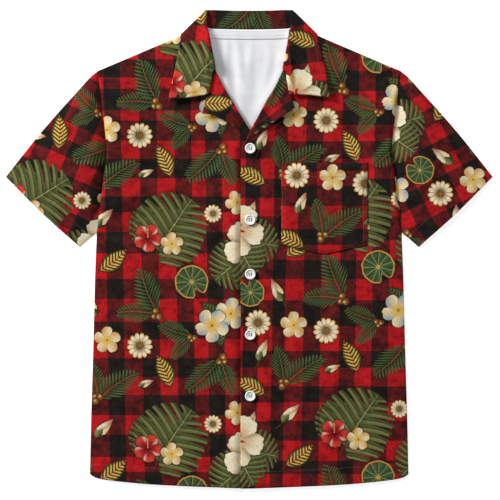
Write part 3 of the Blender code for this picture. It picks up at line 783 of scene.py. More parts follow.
# Creases, in millimetres: from (x0, y0) to (x1, y1), bending this far to the side, half width and height.
# The first eight are the largest. The solids have them too, less high.
CREASE_COLUMNS = ("x0", "y0", "x1", "y1", "bend", "half_width", "height")
BODY_CREASES = MM * np.array([
    (226, 44, 120, 100, 0, 34, 2.2),
    (-226, 52, -128, 116, 0, 36, 2.1),
    (206, 236, 178, 120, 0, 30, 1.2),
    (-204, 240, -172, 128, 0, 32, 1.4),
    (112, -372, 126, -190, 0, 38, 2.0),
    (-92, -374, -110, -170, 0, 40, 2.2),
    (206, -360, 214, -230, 0, 34, 1.4),
    (-200, -360, -192, -214, 0, 36, 1.5),
    (232, 66, 168, 78, 5, 9, 1.4),
    (228, 92, 176, 124, -4, 8, 1.1),
    (236, 20, 190, 2, 6, 10, 1.3),
    (238, -20, 204, -58, -8, 9, 1.1),
    (-232, 70, -170, 92, -6, 9, 1.4),
    (-230, 100, -186, 138, 4, 8, 1.1),
    (-236, 16, -178, -14, 7, 11, 1.2),
    (-240, -30, -208, -84, 5, 9, 0.9),
    (232, 250, 214, 176, 6, 8, 1.3),
    (-234, 252, -218, 172, -5, 9, 1.2),
    (160, 300, 128, 262, 3, 9, 1.1),
    (-168, 296, -140, 250, -4, 10, 1.1),
    (60, -60, 72, -180, 7, 15, 1.3),
    (150, -70, 142, -212, -9, 18, 1.2),
    (-56, 110, -68, -20, 6, 16, 1.3),
    (-150, 20, -160, -140, -8, 19, 1.2),
    (-60, -180, -48, -330, 5, 14, 1.3),
    (74, -240, 64, -352, 4, 12, 1.3),
    (222, -140, 196, -236, -7, 12, 1.1),
    (-226, -150, -206, -262, 6, 13, 1.1),
    (20, 120, 30, 60, 3, 8, 0.9),
    (20, -60, 34, -118, -3, 9, 0.9),
    (16, -170, 26, -224, 3, 8, 0.7),
    (-36, 60, -24, 20, 3, 9, 0.7),
])
# The left sleeve's creases, and what each column is multiplied by for the other sleeve
SLEEVE_CREASES = MM * np.array([
    (252, 266, 256, 196, -6, 9, 1.6),
    (262, 250, 300, 190, -6, 12, 1.3),
    (244, 152, 300, 112, 8, 14, 1.4),
    (240, 120, 284, 88, -5, 10, 1.1),
    (248, 62, 306, 74, -8, 12, 1.5),
    (252, 42, 296, 38, 5, 9, 1.0),
    (300, 178, 344, 116, 7, 18, 1.1),
    (322, 92, 356, 128, 3, 14, 0.8),
    (286, 28, 310, 54, 2, 9, 0.7),
    (350, 102, 376, 124, -2, 9, 0.6),
])
OTHER_SLEEVE = np.array((1, 1.02, 1, 0.96, -1, 1.1, 0.95))
# Those of the back where it shows inside the neck
BACK_CREASES = MM * np.array([
    (-35, 330, -30, 226, -5, 10, 1.2),
    (-21, 334, -12, 208, 4, 12, 1.4),
    (4, 326, 2, 216, -4, 11, 0.9),
    (32, 322, 16, 240, 5, 12, 0.8),
    (52, 330, 40, 262, 2, 9, 0.6),
])
# Where the collar and the lapels roll, the cloth below them stands up too
ROLL_CREASES = MM * np.array([
    (-70, 352, -58, 288, 0, 24, 4.2),
    (-60, 292, -8, 200, 0, 22, 3.8),
    (72, 352, 59, 288, 0, 17, 2.6),
    (60, 292, 10, 204, 0, 15, 2.2),
])
# The same kind of creases in the back's outside, as marks that the surface presses almost flat
UNDER_CREASES = MM * np.array([
    (-190, -340, -170, -180, 8, 16, 0.34),
    (-60, -350, -80, -120, -10, 20, 0.36),
    (90, -356, 70, -160, 9, 18, 0.34),
    (200, -330, 186, -120, -8, 15, 0.32),
    (-210, 60, -110, 150, 9, 18, 0.36),
    (214, 70, 104, 166, -10, 19, 0.36),
    (-20, 120, 10, -60, 8, 22, 0.34),
    (140, 260, 60, 190, 7, 16, 0.30),
    (-150, 268, -70, 214, -7, 15, 0.30),
])

# How the cloth of each piece lies in the printed cloth: turned by degrees, then moved, in millimetres
CUT = {
    "front_left": (0, 210, 118),
    "front_right": (0, 190, 142),
    "back": (0, 40, 0),
    "sleeve_left": (-27, 230, 60),
    "sleeve_right": (24, 89, 236),
    "collar": (0, 136, 246),
    "lapel_left": (-36, 252, 86),
    "lapel_right": (36, 150, 300),
    "pocket": (0, 148, 219),
}
# Where the check's dark bands begin and end, in millimetres, from the lowest up. The cloth between is red.
BANDS = {
    "front_left": (
        (-51, -33.6, -7.6, 16, 38.6, 59, 88.3, 115.7, 146.2, 171.5, 197.8, 224.5, 251),
        (-412, -389, -359.7, -338.8, -306.7, -275, -245.3, -219.7, -190, -163.5, -124, -82, -48.5, -18, 14,
         52, 81, 112, 144, 172, 198, 221, 252, 285, 314, 344),
    ),
    "front_right": (
        (-288, -259.5, -228.2, -201.8, -172.8, -145, -116.8, -89.6, -68, -41.8, -12.3, 14, 40),
        (-386, -356.5, -332.9, -296.6, -266.2, -233.1, -204.8, -174.8, -144.1, -116.9, -80, -48.5, -7.6, 26.9,
         58.5, 83.5, 112.4, 143.8, 172.3, 205.3, 220.6, 256.7, 273.4, 303, 330, 358),
    ),
    "pocket": (
        (20, 50, 78.4, 110.1, 148.8, 181.8, 212),
        (-42, -12, 6, 31.6, 68.4, 100.4, 124, 156),
    ),
}
# How far the columns lean outwards for each millimetre up
BAND_LEAN = 0.016
# A repeat of the check across and along on the other pieces
CHECK = (54.0, 61.5)
SLEEVE_CHECK = (53.5, 52.0)
# For the other pieces, a point in millimetres and where it is in the check, in repeats across and along
CHECK_AT = {
    "back": (0, 0, 0.25, 0.25),
    "sleeve_left": (286.2, 150, 0.25, 0.25),
    "sleeve_right": (-289.1, 187.9, 0.75, 0.75),
    "collar": (-11.5, 362.4, 0.75, 0.25),
    "lapel_left": (33.3, 231.6, 0.75, 0.75),
    "lapel_right": (-50.7, 260.4, 0.75, 0.75),
}


def ramp(value, start, end):
    """0 before start and 1 after end, with a smooth rise between them."""
    t = np.clip((np.asarray(value) - start) / (end - start), 0, 1)
    return t * t * (3 - 2 * t)


def travelled(line):
    """How far along a line each of its points is."""
    return np.concatenate([[0], np.cumsum(np.linalg.norm(np.diff(line, axis=0), axis=1))])


def resample(line, shares):
    """Points at these shares of a line's length."""
    along = travelled(line)
    return np.stack([np.interp(shares, along / along[-1], line[:, k]) for k in range(line.shape[1])], axis=1)


def curve(points, count):
    """A smooth line through the points, as count points that are evenly spaced along it."""
    points = np.asarray(points, float)
    ends = np.vstack([2 * points[0] - points[1], points, 2 * points[-1] - points[-2]])
    t = np.linspace(0, 1, 12, endpoint=False)[:, None]
    stretches = []
    for a, b, c, d in zip(ends, ends[1:], ends[2:], ends[3:]):
        stretches.append(0.5 * (2 * b + (c - a) * t + (2 * a - 5 * b + 4 * c - d) * t**2
                                + (3 * b - a - 3 * c + d) * t**3))
    return resample(np.vstack([*stretches, points[-1:]]), np.linspace(0, 1, count))


def nearest(points, line):
    """For each point, its distance in plan to a line of points, and how far along the line that is."""
    best = np.full(points.shape[:-1], np.inf)
    place = np.zeros(points.shape[:-1])
    start = 0.0
    for a, b in zip(line, line[1:]):
        length = np.linalg.norm(b - a)
        along = np.clip(((points - a) @ (b - a)) / length**2, 0, 1)
        away_from = np.linalg.norm(points - a - along[..., None] * (b - a), axis=-1)
        place = np.where(away_from < best, start + along * length, place)
        best = np.minimum(best, away_from)
        start += length
    return best, place


def distance(points, line):
    return nearest(points, line)[0]


def patch(bottom, top, inner, outer, even=False):
    """A grid between four lines. Bottom and top run outwards, inner and outer run upwards.

    Its rows are spaced as the outer line's points are, or evenly.
    """
    u = np.linspace(0, 1, len(inner)) if even else travelled(outer) / travelled(outer)[-1]
    v = travelled(bottom) / travelled(bottom)[-1]
    u, v = u[:, None, None], v[None, :, None]
    across = (1 - v) * inner[:, None] + v * outer[:, None]
    along = (1 - u) * bottom[None] + u * top[None]
    corners = (1 - u) * ((1 - v) * bottom[0] + v * bottom[-1]) + u * ((1 - v) * top[0] + v * top[-1])
    return across + along - corners


def mirrored(points, sign):
    return points * np.array([sign, 1.0])


def with_height(grid, heights):
    return np.concatenate([grid, heights[..., None]], axis=-1)


def grid_faces(rows, columns, closed=False):
    faces = []
    for i in range(rows - 1):
        for j in range(columns if closed else columns - 1):
            k = (j + 1) % columns
            faces.append((i * columns + j, i * columns + k, (i + 1) * columns + k, (i + 1) * columns + j))
    return faces


def surface(grid):
    """A grid's surface, to look up heights on."""
    return BVHTree.FromPolygons(grid.reshape(-1, 3).tolist(), grid_faces(*grid.shape[:2]))


def resting_on(tree, points):
    """The height of a surface at each point in plan, or at its nearest place beyond its edge."""
    heights = []
    for x, y in points.reshape(-1, 2):
        found = tree.ray_cast((x, y, 1.0), (0.0, 0.0, -1.0))[0]
        if found is None:
            found = tree.find_nearest((x, y, 5 * MM))[0]
        heights.append(found[2])
    return np.array(heights).reshape(points.shape[:-1])


def finer(grid, step):
    """The same surface with more points, no more than step apart, along its rows and then its columns."""
    for axis in (0, 1):
        lines = np.moveaxis(grid, axis, 0)
        lengths = np.linalg.norm(np.diff(lines, axis=0), axis=-1)
        h = lengths.mean(axis=1)[:, None, None] + 1e-9
        slope = np.diff(lines, axis=0) / h
        before, after = slope[:-1], slope[1:]
        w1, w2 = 2 * h[1:] + h[:-1], h[1:] + 2 * h[:-1]
        level = before * after <= 0
        middle = (w1 + w2) / (w1 / np.where(level, 1, before) + w2 / np.where(level, 1, after))
        slopes = np.concatenate([slope[:1], np.where(level, 0, middle), slope[-1:]])
        made = []
        for k in range(len(h)):
            count = max(1, math.ceil(lengths[k].max() / step))
            t = (np.arange(count) / count)[:, None, None]
            made.append(lines[k] * (2 * t**3 - 3 * t**2 + 1) + lines[k + 1] * (3 * t**2 - 2 * t**3)
                        + h[k] * (slopes[k] * (t**3 - 2 * t**2 + t) + slopes[k + 1] * (t**3 - t**2)))
        grid = np.moveaxis(np.concatenate([*made, lines[-1:]]), 0, axis)
    return grid


def crease_height(points, creases):
    """The sum of a table's creases at each point. Each is highest in its middle, and dies out at its ends."""
    total = np.zeros(points.shape[:-1])
    for row in creases:
        crease = dict(zip(CREASE_COLUMNS, row))
        start = np.array((crease["x0"], crease["y0"]))
        end = np.array((crease["x1"], crease["y1"]))
        length = np.linalg.norm(end - start)
        along = (end - start) / length
        across = np.array((-along[1], along[0]))
        t = (points - start) @ along / length
        side = (points - start) @ across - crease["bend"] * 4 * t * (1 - t)
        inside = ramp(t, -0.25, 0.3) * (1 - ramp(t, 0.7, 1.25))
        half = crease["half_width"] * (0.75 + 0.5 * t)
        total += crease["height"] * inside * (1 - ramp(np.abs(side), 0, half))
    return total


def puckers(points, line, reach, wave, height, start=0.0):
    """Small uneven ripples that cross a seam or a row of stitches and die out this far from it."""
    off, s = nearest(points, line)
    phase = 2 * math.pi * s / wave
    uneven = 0.55 + 0.45 * np.sin(phase / 5.3 + start)
    ripple = np.sin(phase + 1.7 * np.sin(phase / 3.1 + start) + start)
    return height * uneven * ripple * (1 - ramp(off, 0, reach))


def body_edge(y):
    """Half width of the body at this height up the shirt, armhole and shoulder included."""
    outline = np.vstack([HEM_CURVE[-2:-1], SIDE_SEAM, ARMHOLE[1:], NECK_POINT])
    return np.interp(y, outline[:, 1], outline[:, 0])


def hem_stitch_line(start, end):
    """The row of stitches above the hem, at +X and from one x to another."""
    x = np.linspace(start, end, 90)
    y = HEM_STITCH_Y + HEM_STITCH_RISE * (np.abs(x) / HEM_STITCH_SIDE) ** 1.5
    return np.stack([x, y], axis=1)


# Heights of the middle of each layer above the surface that the shirt lies on

def fall_edge_y(x):
    """Where the collar ends under the back, at this distance from the middle."""
    return FALL_DEPTH_Y + (COLLAR_SHOULDER[1] - FALL_DEPTH_Y) * (x / COLLAR_SHOULDER[0]) ** 2


def back_height(points):
    """The back lies on the surface, and rises over the part of the collar that is folded under it."""
    fall_edge = fall_edge_y(points[..., 0])
    return CLOTH / 2 + LAYER * ramp(points[..., 1], fall_edge - FALL_FADE, fall_edge - FALL_CLEAR)


def loose_height(points):
    """How far the fronts stand off the back: a soft swell, creases, and a fold along the armhole."""
    x, y = points[..., 0], points[..., 1]
    share = np.clip(np.abs(x) / body_edge(y), 0, 1)
    to_armhole = np.minimum(distance(points, ARMHOLE), distance(points, mirrored(ARMHOLE, -1)))
    full_y, fading_y, end_y = ARMHOLE_FOLD_Y
    window = ramp(y, ARMHOLE[0, 1], full_y) * (1 - ramp(y, fading_y, end_y))
    uneven = 0.8 + 0.2 * np.sin(y / ARMHOLE_WAVE) * np.sign(x)
    roll = np.where(x > 0, SIDES["left"]["armhole_roll"], SIDES["right"]["armhole_roll"])
    fold = ARMHOLE_RISE * window * uneven * (1 - np.exp(-to_armhole / roll))
    fold = fold * (1 - ramp(to_armhole, ARMHOLE_CREST, ARMHOLE_REACH))
    swell = (1 - share**6) * (FRONT_SWELL + crease_height(points, BODY_CREASES))
    return swell + fold + crease_height(points, ROLL_CREASES)


def beside_placket(points, loose):
    """How far the under front stands off: it rises towards the placket, and lies pressed under its edge."""
    x = points[..., 0]
    below_break = 1 - ramp(points[..., 1], *BREAK_FADE_Y)
    raised = loose + UNDER_FOLD * ramp(x, *UNDER_RISE_X) * below_break
    return raised * (1 - UNDER_PRESS * ramp(x, *UNDER_PRESS_X) * below_break)


def near_roll(points, side):
    """1 beside the lapel's roll line, where the facing is tucked under the front, and 0 away from it."""
    line = mirrored(SIDES[side]["roll"], SIDES[side]["sign"])
    return 1 - ramp(distance(points, line), ROLL_CLEAR, ROLL_FADE)


def tucked_layers(points, side):
    """How many layers lie between a front and the back."""
    if side == "right":
        return near_roll(points, "right")
    over = (1 - ramp(points[..., 0], *LAP_FADE_X)) * (1 + near_roll(points, "right"))
    crossing = 1 - ramp(np.linalg.norm(points - V_POINT, axis=-1), V_CLEAR, V_FADE)
    return over + near_roll(points, "left") + crossing


# The printed cloth

# The print repeats after this many millimetres across and along
TILE = (318.0, 336.0)
# Each motif's place and turn in the tile, and how large it is there
LAYOUT = [
    ("bouquet_cream", 190, 136, 12, 1.0),
    ("bouquet_olive", 52, 181, -14, 1.0),
    ("fern_spray", 284, 264, -24, 0.96),
    ("fern_spray", 21, 63, 52, 1.0),
    ("fern_spray", 131, 273, 165, 0.95),
    ("fern_spray", 74, 1, 100, 0.74),
    ("plumeria_pair", 146, 28, -12, 1.0),
    ("blossom", 281, 332, 10, 1.0),
    ("blossom", 171, 216, -35, 0.9),
    ("daisy", 224, 336, 8, 1.0),
    ("daisy", 15, 323, -20, 1.0),
    ("daisy", 132, 198, 15, 0.7),
    ("pad", 98, 89, 28, 1.0),
    ("pad", 212, 48, 200, 0.84),
    ("bud", 256, 47, 34, 1.0),
    ("bud", 272, 188, -38, 1.0),
    ("bud", 229, 288, -16, 0.92),
    ("bud", 22, 262, -60, 0.66),
    ("croton", 289, 123, -52, 1.0),
    ("croton", 212, 233, 64, 1.0),
    ("croton", 54, 281, 24, 1.0),
]
# How far a motif can be from a face that shows it, in shares of how far it reaches
MOTIF_REACH = 1.6


def turn_by(points, degrees):
    """Points turned anticlockwise, all by one angle or each by its own."""
    x, y, a = points[..., 0], points[..., 1], np.radians(degrees)
    return np.stack([x * np.cos(a) - y * np.sin(a), x * np.sin(a) + y * np.cos(a)], axis=-1)


def check_place(points, piece):
    """Where each point lies in the check, in repeats. The first half of a repeat is the dark band."""
    if piece in BANDS:
        lean = BAND_LEAN * points[..., 1] * (1 if piece == "front_left" else -1)
        off = points - np.stack([lean, 0 * lean], axis=-1)
        return np.stack([np.interp(off[..., k], edges, np.arange(len(edges)) / 2)
                         for k, edges in enumerate(BANDS[piece])], axis=-1)
    repeat = SLEEVE_CHECK if piece.startswith("sleeve") else CHECK
    x, y, *shares = CHECK_AT[piece]
    return turn_by(points - np.array((x, y)), CUT[piece][0]) / np.array(repeat) + np.array(shares)


def nearest_motifs(places):
    """For each place in the cloth, its motif's number and place, how that is turned and how large it is."""
    best = np.full(len(places), np.inf)
    kind = np.full(len(places), len(MOTIFS))
    anchor = np.zeros((len(places), 2))
    degrees_at, size_at = np.zeros(len(places)), np.ones(len(places))
    for name, x, y, degrees, scale in LAYOUT:
        _, reach_x, reach_y, _ = MOTIFS[name]
        off = places - np.array((x, y))
        off -= np.round(off / TILE) * TILE
        local = turn_by(off, -degrees) / scale
        reach = np.hypot(local[:, 0] / reach_x, local[:, 1] / reach_y)
        closer = reach < best
        best[closer] = reach[closer]
        anchor[closer] = (places - off)[closer]
        degrees_at[closer] = degrees
        size_at[closer] = scale
        kind[closer] = list(MOTIFS).index(name)
    kind[best >= MOTIF_REACH] = len(MOTIFS)
    return kind, anchor, degrees_at, size_at


def corners_of(mesh):
    """The vertex at each corner of each face."""
    return [vertex for face in mesh.polygons for vertex in face.vertices]


def add_layer(mesh, name, values):
    mesh.uv_layers.new(name=name).data.foreach_set("uv", values.astype(np.float32).ravel())


def printed_faces(mesh, piece, plan):
    """Lays the print on a mesh: every face shows the motif of the cloth that is nearest to it, or none.

    plan has a point for each vertex, in millimetres: where it lies when the piece is spread flat.
    """
    turn, dx, dy = CUT[piece]
    cloth = turn_by(plan, turn) + np.array((dx, dy))
    corners = corners_of(mesh)
    counts = np.array([len(face.vertices) for face in mesh.polygons])
    face_of = np.repeat(np.arange(len(counts)), counts)
    centres = np.stack([np.bincount(face_of, cloth[corners, k]) / counts for k in (0, 1)], axis=1)
    kind, anchor, degrees, scale = nearest_motifs(centres)
    motif = turn_by(cloth[corners] - anchor[face_of], -degrees[face_of]) / scale[face_of, None]
    add_layer(mesh, "cloth", cloth[corners] * MM)
    add_layer(mesh, "check", check_place(plan, piece)[corners])
    add_layer(mesh, "motif", motif * MM)
    mesh.polygons.foreach_set("material_index", kind.astype(np.int32))


def add_object(name, points, faces, looks):
    mesh = bpy.data.meshes.new(name)
    mesh.from_pydata([tuple(point) for point in points], [], faces)
    for look in looks:
        mesh.materials.append(look)
    made = bpy.data.objects.new(name, mesh)
    bpy.context.scene.collection.objects.link(made)
    return made


def dress(made, node=None):
    """Makes a piece part of the shirt, in the place of this node, whose own part it hides."""
    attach(made, "root")
    if node:
        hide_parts(node)


def cloth_piece(node, grid, plan=None, closed=False, inside=None, thickness=CLOTH):
    """A thin wall round a grid of points, in the place of a node. What is cut from the print shows it."""
    looks = (PRINTS if node in CUT else []) + ([inside] if inside else [])
    made = add_object("shirt_" + node, grid.reshape(-1, 3), grid_faces(*grid.shape[:2], closed), looks)
    flat = (grid[..., :2] if plan is None else plan).reshape(-1, 2)
    if node in CUT:
        printed_faces(made.data, node, flat / MM)
    else:
        add_layer(made.data, "cloth", flat[corners_of(made.data)])
    made.data.shade_smooth()
    wall = made.modifiers.new("cloth", "SOLIDIFY")
    wall.thickness = thickness
    wall.offset = 0.0
    if inside:
        wall.material_offset = len(looks) - 1
    dress(made, node)
    return made


# Back, fronts and sleeves

def outer_line(rows):
    """The side seam and the armhole, from the hem up to the shoulder, at these shares of the way."""
    return resample(np.vstack([curve(SIDE_SEAM, 60)[:-1], curve(ARMHOLE, 60)]), rows)


def edge_shares(count):
    """Shares of the way across that are closer together near both edges."""
    low = np.array((0, 0.005, 0.011, 0.018, 0.027, 0.038))
    return np.concatenate([low, np.linspace(0.05, 0.95, count), 1 - low[::-1]])


def turned_edge(points, line, drop, reach=3.0 * MM):
    """How far cloth turns down towards a seam or a folded edge along this line."""
    return drop * (1 - ramp(distance(points, line), -reach, reach)) * 2


def row_shares(fine, usual):
    """Rows that are closer together near the hem, as shares of the way up."""
    low = np.arange(0, 0.05, fine)
    return np.concatenate([low, np.linspace(0.05, 1, round(0.95 / usual) + 1)])


def make_back():
    """The back's middle, without its creases and with them."""
    shares = row_shares(0.005, 0.0085)
    outer = outer_line(shares)
    heights = np.interp(outer[:, 1], outer[[0, -1], 1], (HEM_CURVE[0, 1], BACK_NECK[0, 1]))
    inner = np.stack([np.zeros(len(outer)), heights], axis=1)
    columns = np.concatenate([np.linspace(0, 0.278, 22), np.linspace(0.278, 1, 36)[1:]])
    top = np.vstack([BACK_NECK, SHOULDER_TIP])
    half = patch(resample(curve(HEM_CURVE, 40), columns), resample(top, columns), inner, outer)
    whole = np.concatenate([mirrored(half[:, :0:-1], -1), half], axis=1)
    smooth_back = with_height(whole, back_height(whole))
    creased = smooth_back.copy()
    for creases in (BACK_CREASES, ROLL_CREASES, UNDER_CREASES):
        creased[..., 2] += crease_height(whole, creases)
    return smooth_back, creased


def front_edge(side, shares):
    """The line up a front's inner edge, at +X: the placket, inside the lapel's roll, and round the neck."""
    placket_x = OVERLAP_LEFT_X if side == "left" else -OVERLAP_RIGHT_X
    along = curve(SIDES[side]["roll"], 30)[:-1]
    inset = along + FRONT_EDGE_INSET * clockwise(unit(np.gradient(along, axis=0)))
    placket = np.array([(placket_x, HEM_CURVE[0, 1]), (placket_x, BREAK_Y - 8 * MM),
                        (placket_x + 2.5 * MM, BREAK_Y - 1 * MM)])
    return resample(np.vstack([placket, inset, curve(FRONT_NECK, 20)]), shares)


def stitched_hem(points, stitches, beyond, fold):
    """The edge turned in beyond a row of stitches, this much thicker, and the groove along the stitches."""
    off = distance(points, stitches)
    signed = np.where(beyond, -off, off)
    return fold * (1 - ramp(signed, -1.5 * MM, 1.5 * MM)) - 0.25 * MM * (1 - ramp(off, 0, 3 * MM))


def pocket_edge(drop=0.0):
    """The pocket's sewn edge, from one end of its mouth round its point. Both its ends are lower by drop."""
    (left, right), middle, top_y = POCKET_X, sum(POCKET_X) / 2, POCKET_TOP_Y - drop
    return np.array([(left, top_y), (left, POCKET_SIDE_Y), (middle, POCKET_POINT_Y),
                     (right, POCKET_SIDE_Y), (right, top_y)])


def front_relief(grid, side):
    """What the hem, the seams and the pocket over it add to a front's height."""
    sign = SIDES[side]["sign"]
    at_side = np.clip(np.abs(grid[..., 0]) / body_edge(grid[..., 1]), 0, 1)
    stitches = mirrored(hem_stitch_line(-16 * MM, 256 * MM), sign)
    below = grid[..., 1] < np.interp(np.abs(grid[..., 0]), stitches[:, 0] * sign, stitches[:, 1])
    armhole, side_seam, shoulder = (mirrored(line, sign) for line in (ARMHOLE, SIDE_SEAM, SHOULDER))
    relief = stitched_hem(grid, stitches, below, 0.5 * MM)
    relief += (1 - at_side**8) * puckers(grid, stitches, 13 * MM, 12 * MM, 0.42 * MM, 1.0 * sign)
    relief += (1 - at_side**20) * puckers(grid, armhole, 17 * MM, 17 * MM, 0.3 * MM, 2.0)
    relief += SEAM_STEP * (1 - ramp(distance(grid, armhole), 2 * MM, 14 * MM))
    relief -= turned_edge(grid, armhole, 0.6 * SEAM_STEP, 3.4 * MM)
    for edge in (side_seam, shoulder):
        relief -= turned_edge(grid, edge, GAP)
    if side == "left":
        outline = pocket_edge()[[0, 1, 2, 3, 4, 0]]
        relief -= POCKET_DIP * (1 - ramp(distance(grid, outline), 0, 6 * MM))
    return relief


def make_front(side, back_tree):
    shares = row_shares(0.0036, 0.0054)
    inner, outer = front_edge(side, shares), outer_line(shares)
    hem = curve(HEM_CURVE, 60)
    hem = np.vstack([inner[0], hem[hem[:, 0] > max(inner[0, 0], 0) + 1 * MM]])
    columns = edge_shares(54)
    grid = patch(resample(hem, columns), resample(SHOULDER, columns), inner, outer)
    grid = mirrored(grid, SIDES[side]["sign"])
    loose = loose_height(grid)
    if side == "right":
        loose = beside_placket(grid, loose)
    heights = resting_on(back_tree, grid) + loose + LAYER * (1 + tucked_layers(grid, side))
    return with_height(grid, heights + front_relief(grid, side))


def sleeve_plan(along):
    """One layer of a flattened sleeve at +X, with room for the folds left at its two long edges."""
    s = np.linspace(0, 1, SLEEVE_COLUMNS)
    armhole = resample(curve(ARMHOLE, 60), s) + np.array([0.02 * MM, 0])
    under, over = resample(curve(UNDERARM, 60), along), resample(curve(SLEEVE_TOP, 60), along)
    under[0], over[0] = armhole[0], armhole[-1]
    layer = patch(armhole, curve(CUFF, SLEEVE_COLUMNS), under, over)
    across = layer[:, -1:] - layer[:, :1]
    inset = (LAYER + CLOTH) / 2 / np.linalg.norm(across, axis=-1)
    return layer + across * (inset * (1 - 2 * s))[..., None]


def cuff_stitch_line(flat):
    """The row of stitches above the cuff, from edge to edge."""
    line = []
    for column in np.moveaxis(flat[::-1], 1, 0):
        line.append([np.interp(CUFF_HEM, travelled(column), column[:, k]) for k in (0, 1)])
    return np.array(line)


def sleeve_swell(flat, along, side, creases):
    """How far a sleeve's upper layer stands off: a swell below the cap, creases and the stitched hem."""
    spec = SIDES[side]
    t = along[:, None]
    from_edge = np.sin(math.pi * np.linspace(0, 1, SLEEVE_COLUMNS))
    rise = 1 - np.exp(-distance(flat, ARMHOLE) / spec["cap_reach"])
    swell = spec["cap_swell"] * from_edge**0.7 * rise * (1 - 0.55 * ramp(t, 0.1, 1))
    stitches = cuff_stitch_line(flat)
    swell = swell + from_edge**0.5 * (
        creases * ramp(t, -0.02, 0.1)
        + stitched_hem(flat, stitches, distance(flat, CUFF) < CUFF_HEM, 0.45 * MM)
        + puckers(flat, stitches, 12 * MM, 12 * MM, 0.36 * MM, 0.7 * spec["sign"])
        + puckers(flat, ARMHOLE, 15 * MM, 16 * MM, 0.4 * MM, 1.3 * spec["sign"]))
    return np.maximum(swell, 0) - turned_edge(flat, ARMHOLE, 0.3 * MM) * from_edge**0.5


def sleeve_folds(flat):
    """The rounded folds along a sleeve's two long edges, as three columns of points for each."""
    outwards = unit(flat[:, -1] - flat[:, 0])
    turn = LAYER / 2
    folds = []
    for edge, way, angles in ((flat[:, -1], outwards, (60, 0, -60)), (flat[:, 0], -outwards, (-60, 0, 60))):
        for a in np.radians(angles):
            height = CLOTH / 2 + turn + turn * math.sin(a)
            folds.append(with_height(edge + turn * math.cos(a) * way, np.full(len(flat), height))[:, None])
    return folds


def spread_sleeve(flat):
    """Where a sleeve's points lie when it is spread flat, with its under side opened out past its top."""
    normal = clockwise(unit(SLEEVE_TOP[-1] - SLEEVE_TOP[0]))
    under_side = flat - 2 * ((flat - SLEEVE_TOP[0]) @ normal)[..., None] * normal
    return np.concatenate([flat, np.repeat(flat[:, -1:], 3, axis=1), under_side[:, ::-1],
                           np.repeat(flat[:, :1], 3, axis=1)], axis=1)


def make_sleeve(side):
    """A flattened tube, open at the cuff and at the armhole.

    With it come its points' places when it is spread flat, its upper layer, and its row of stitches.
    """
    sign = SIDES[side]["sign"]
    along = edge_shares(40)
    flat = sleeve_plan(along)
    table = SLEEVE_CREASES if side == "left" else SLEEVE_CREASES * OTHER_SLEEVE
    creases = crease_height(flat, table)
    upper = with_height(flat, CLOTH / 2 + LAYER + sleeve_swell(flat, along, side, creases))
    pressed = np.clip(0.25 * creases, 0, 0.3 * MM) * np.sin(math.pi * np.linspace(0, 1, SLEEVE_COLUMNS))**0.5
    lower = with_height(flat, CLOTH / 2 + pressed)
    folds = sleeve_folds(flat)
    ring = np.concatenate([upper, *folds[:3], lower[:, ::-1], *folds[3:]], axis=1)
    ring, spread = ring * np.array((sign, 1, 1)), mirrored(spread_sleeve(flat), sign)
    if sign > 0:
        ring, spread = ring[:, ::-1], spread[:, ::-1]
    return ring, spread, upper * np.array((sign, 1, 1)), mirrored(cuff_stitch_line(flat), sign)


# Collar, lapels, neck tape and pocket

def leaf_edges(side, below_count, beside_count):
    """The free edges of a collar leaf at +X: from the notch to its point, and on up to the shoulder."""
    spec = SIDES[side]
    notch, bottom, point, edge = (MM * np.array(spec[name])
                                  for name in ("notch", "leaf_bottom", "leaf_point", "leaf_edge"))
    return curve([notch, bottom, point], below_count), curve([point, edge, LEAF_END], beside_count)


def leaf_rows(side, rows, columns):
    """The collar's leaf on one front, from its front end up to the shoulder, in plan and at +X."""
    inner_count = max(2, columns // 3)
    below, outer = leaf_edges(side, columns - inner_count, rows)
    bottom = np.vstack([np.linspace(COLLAR_ROLL[0], below[0], inner_count, endpoint=False), below])
    top = resample(np.array([COLLAR_ROLL[-1], LEAF_END]), np.linspace(0, 1, columns))
    return patch(bottom, top, curve(COLLAR_ROLL, rows), outer)


def fold_arc(start, end, bulge, count=3):
    """Points of the half circle from start to end that bulges this way, without its ends."""
    centre, half = (start + end) / 2, (end - start) / 2
    radius = np.linalg.norm(half)
    angles = np.linspace(0, math.pi, count + 2)[1:-1]
    return [centre - half * math.cos(a) + bulge * radius * math.sin(a) for a in angles]


def collar_row(neck, leaf, bulge):
    """One section across the collar: neck seam, stand, roll and leaf. The stand ends beside the roll."""
    stand_end = leaf[0].copy()
    stand_end[2] = neck[2]
    return np.vstack([neck, (neck + stand_end) / 2, stand_end, *fold_arc(stand_end, leaf[0], bulge), leaf])


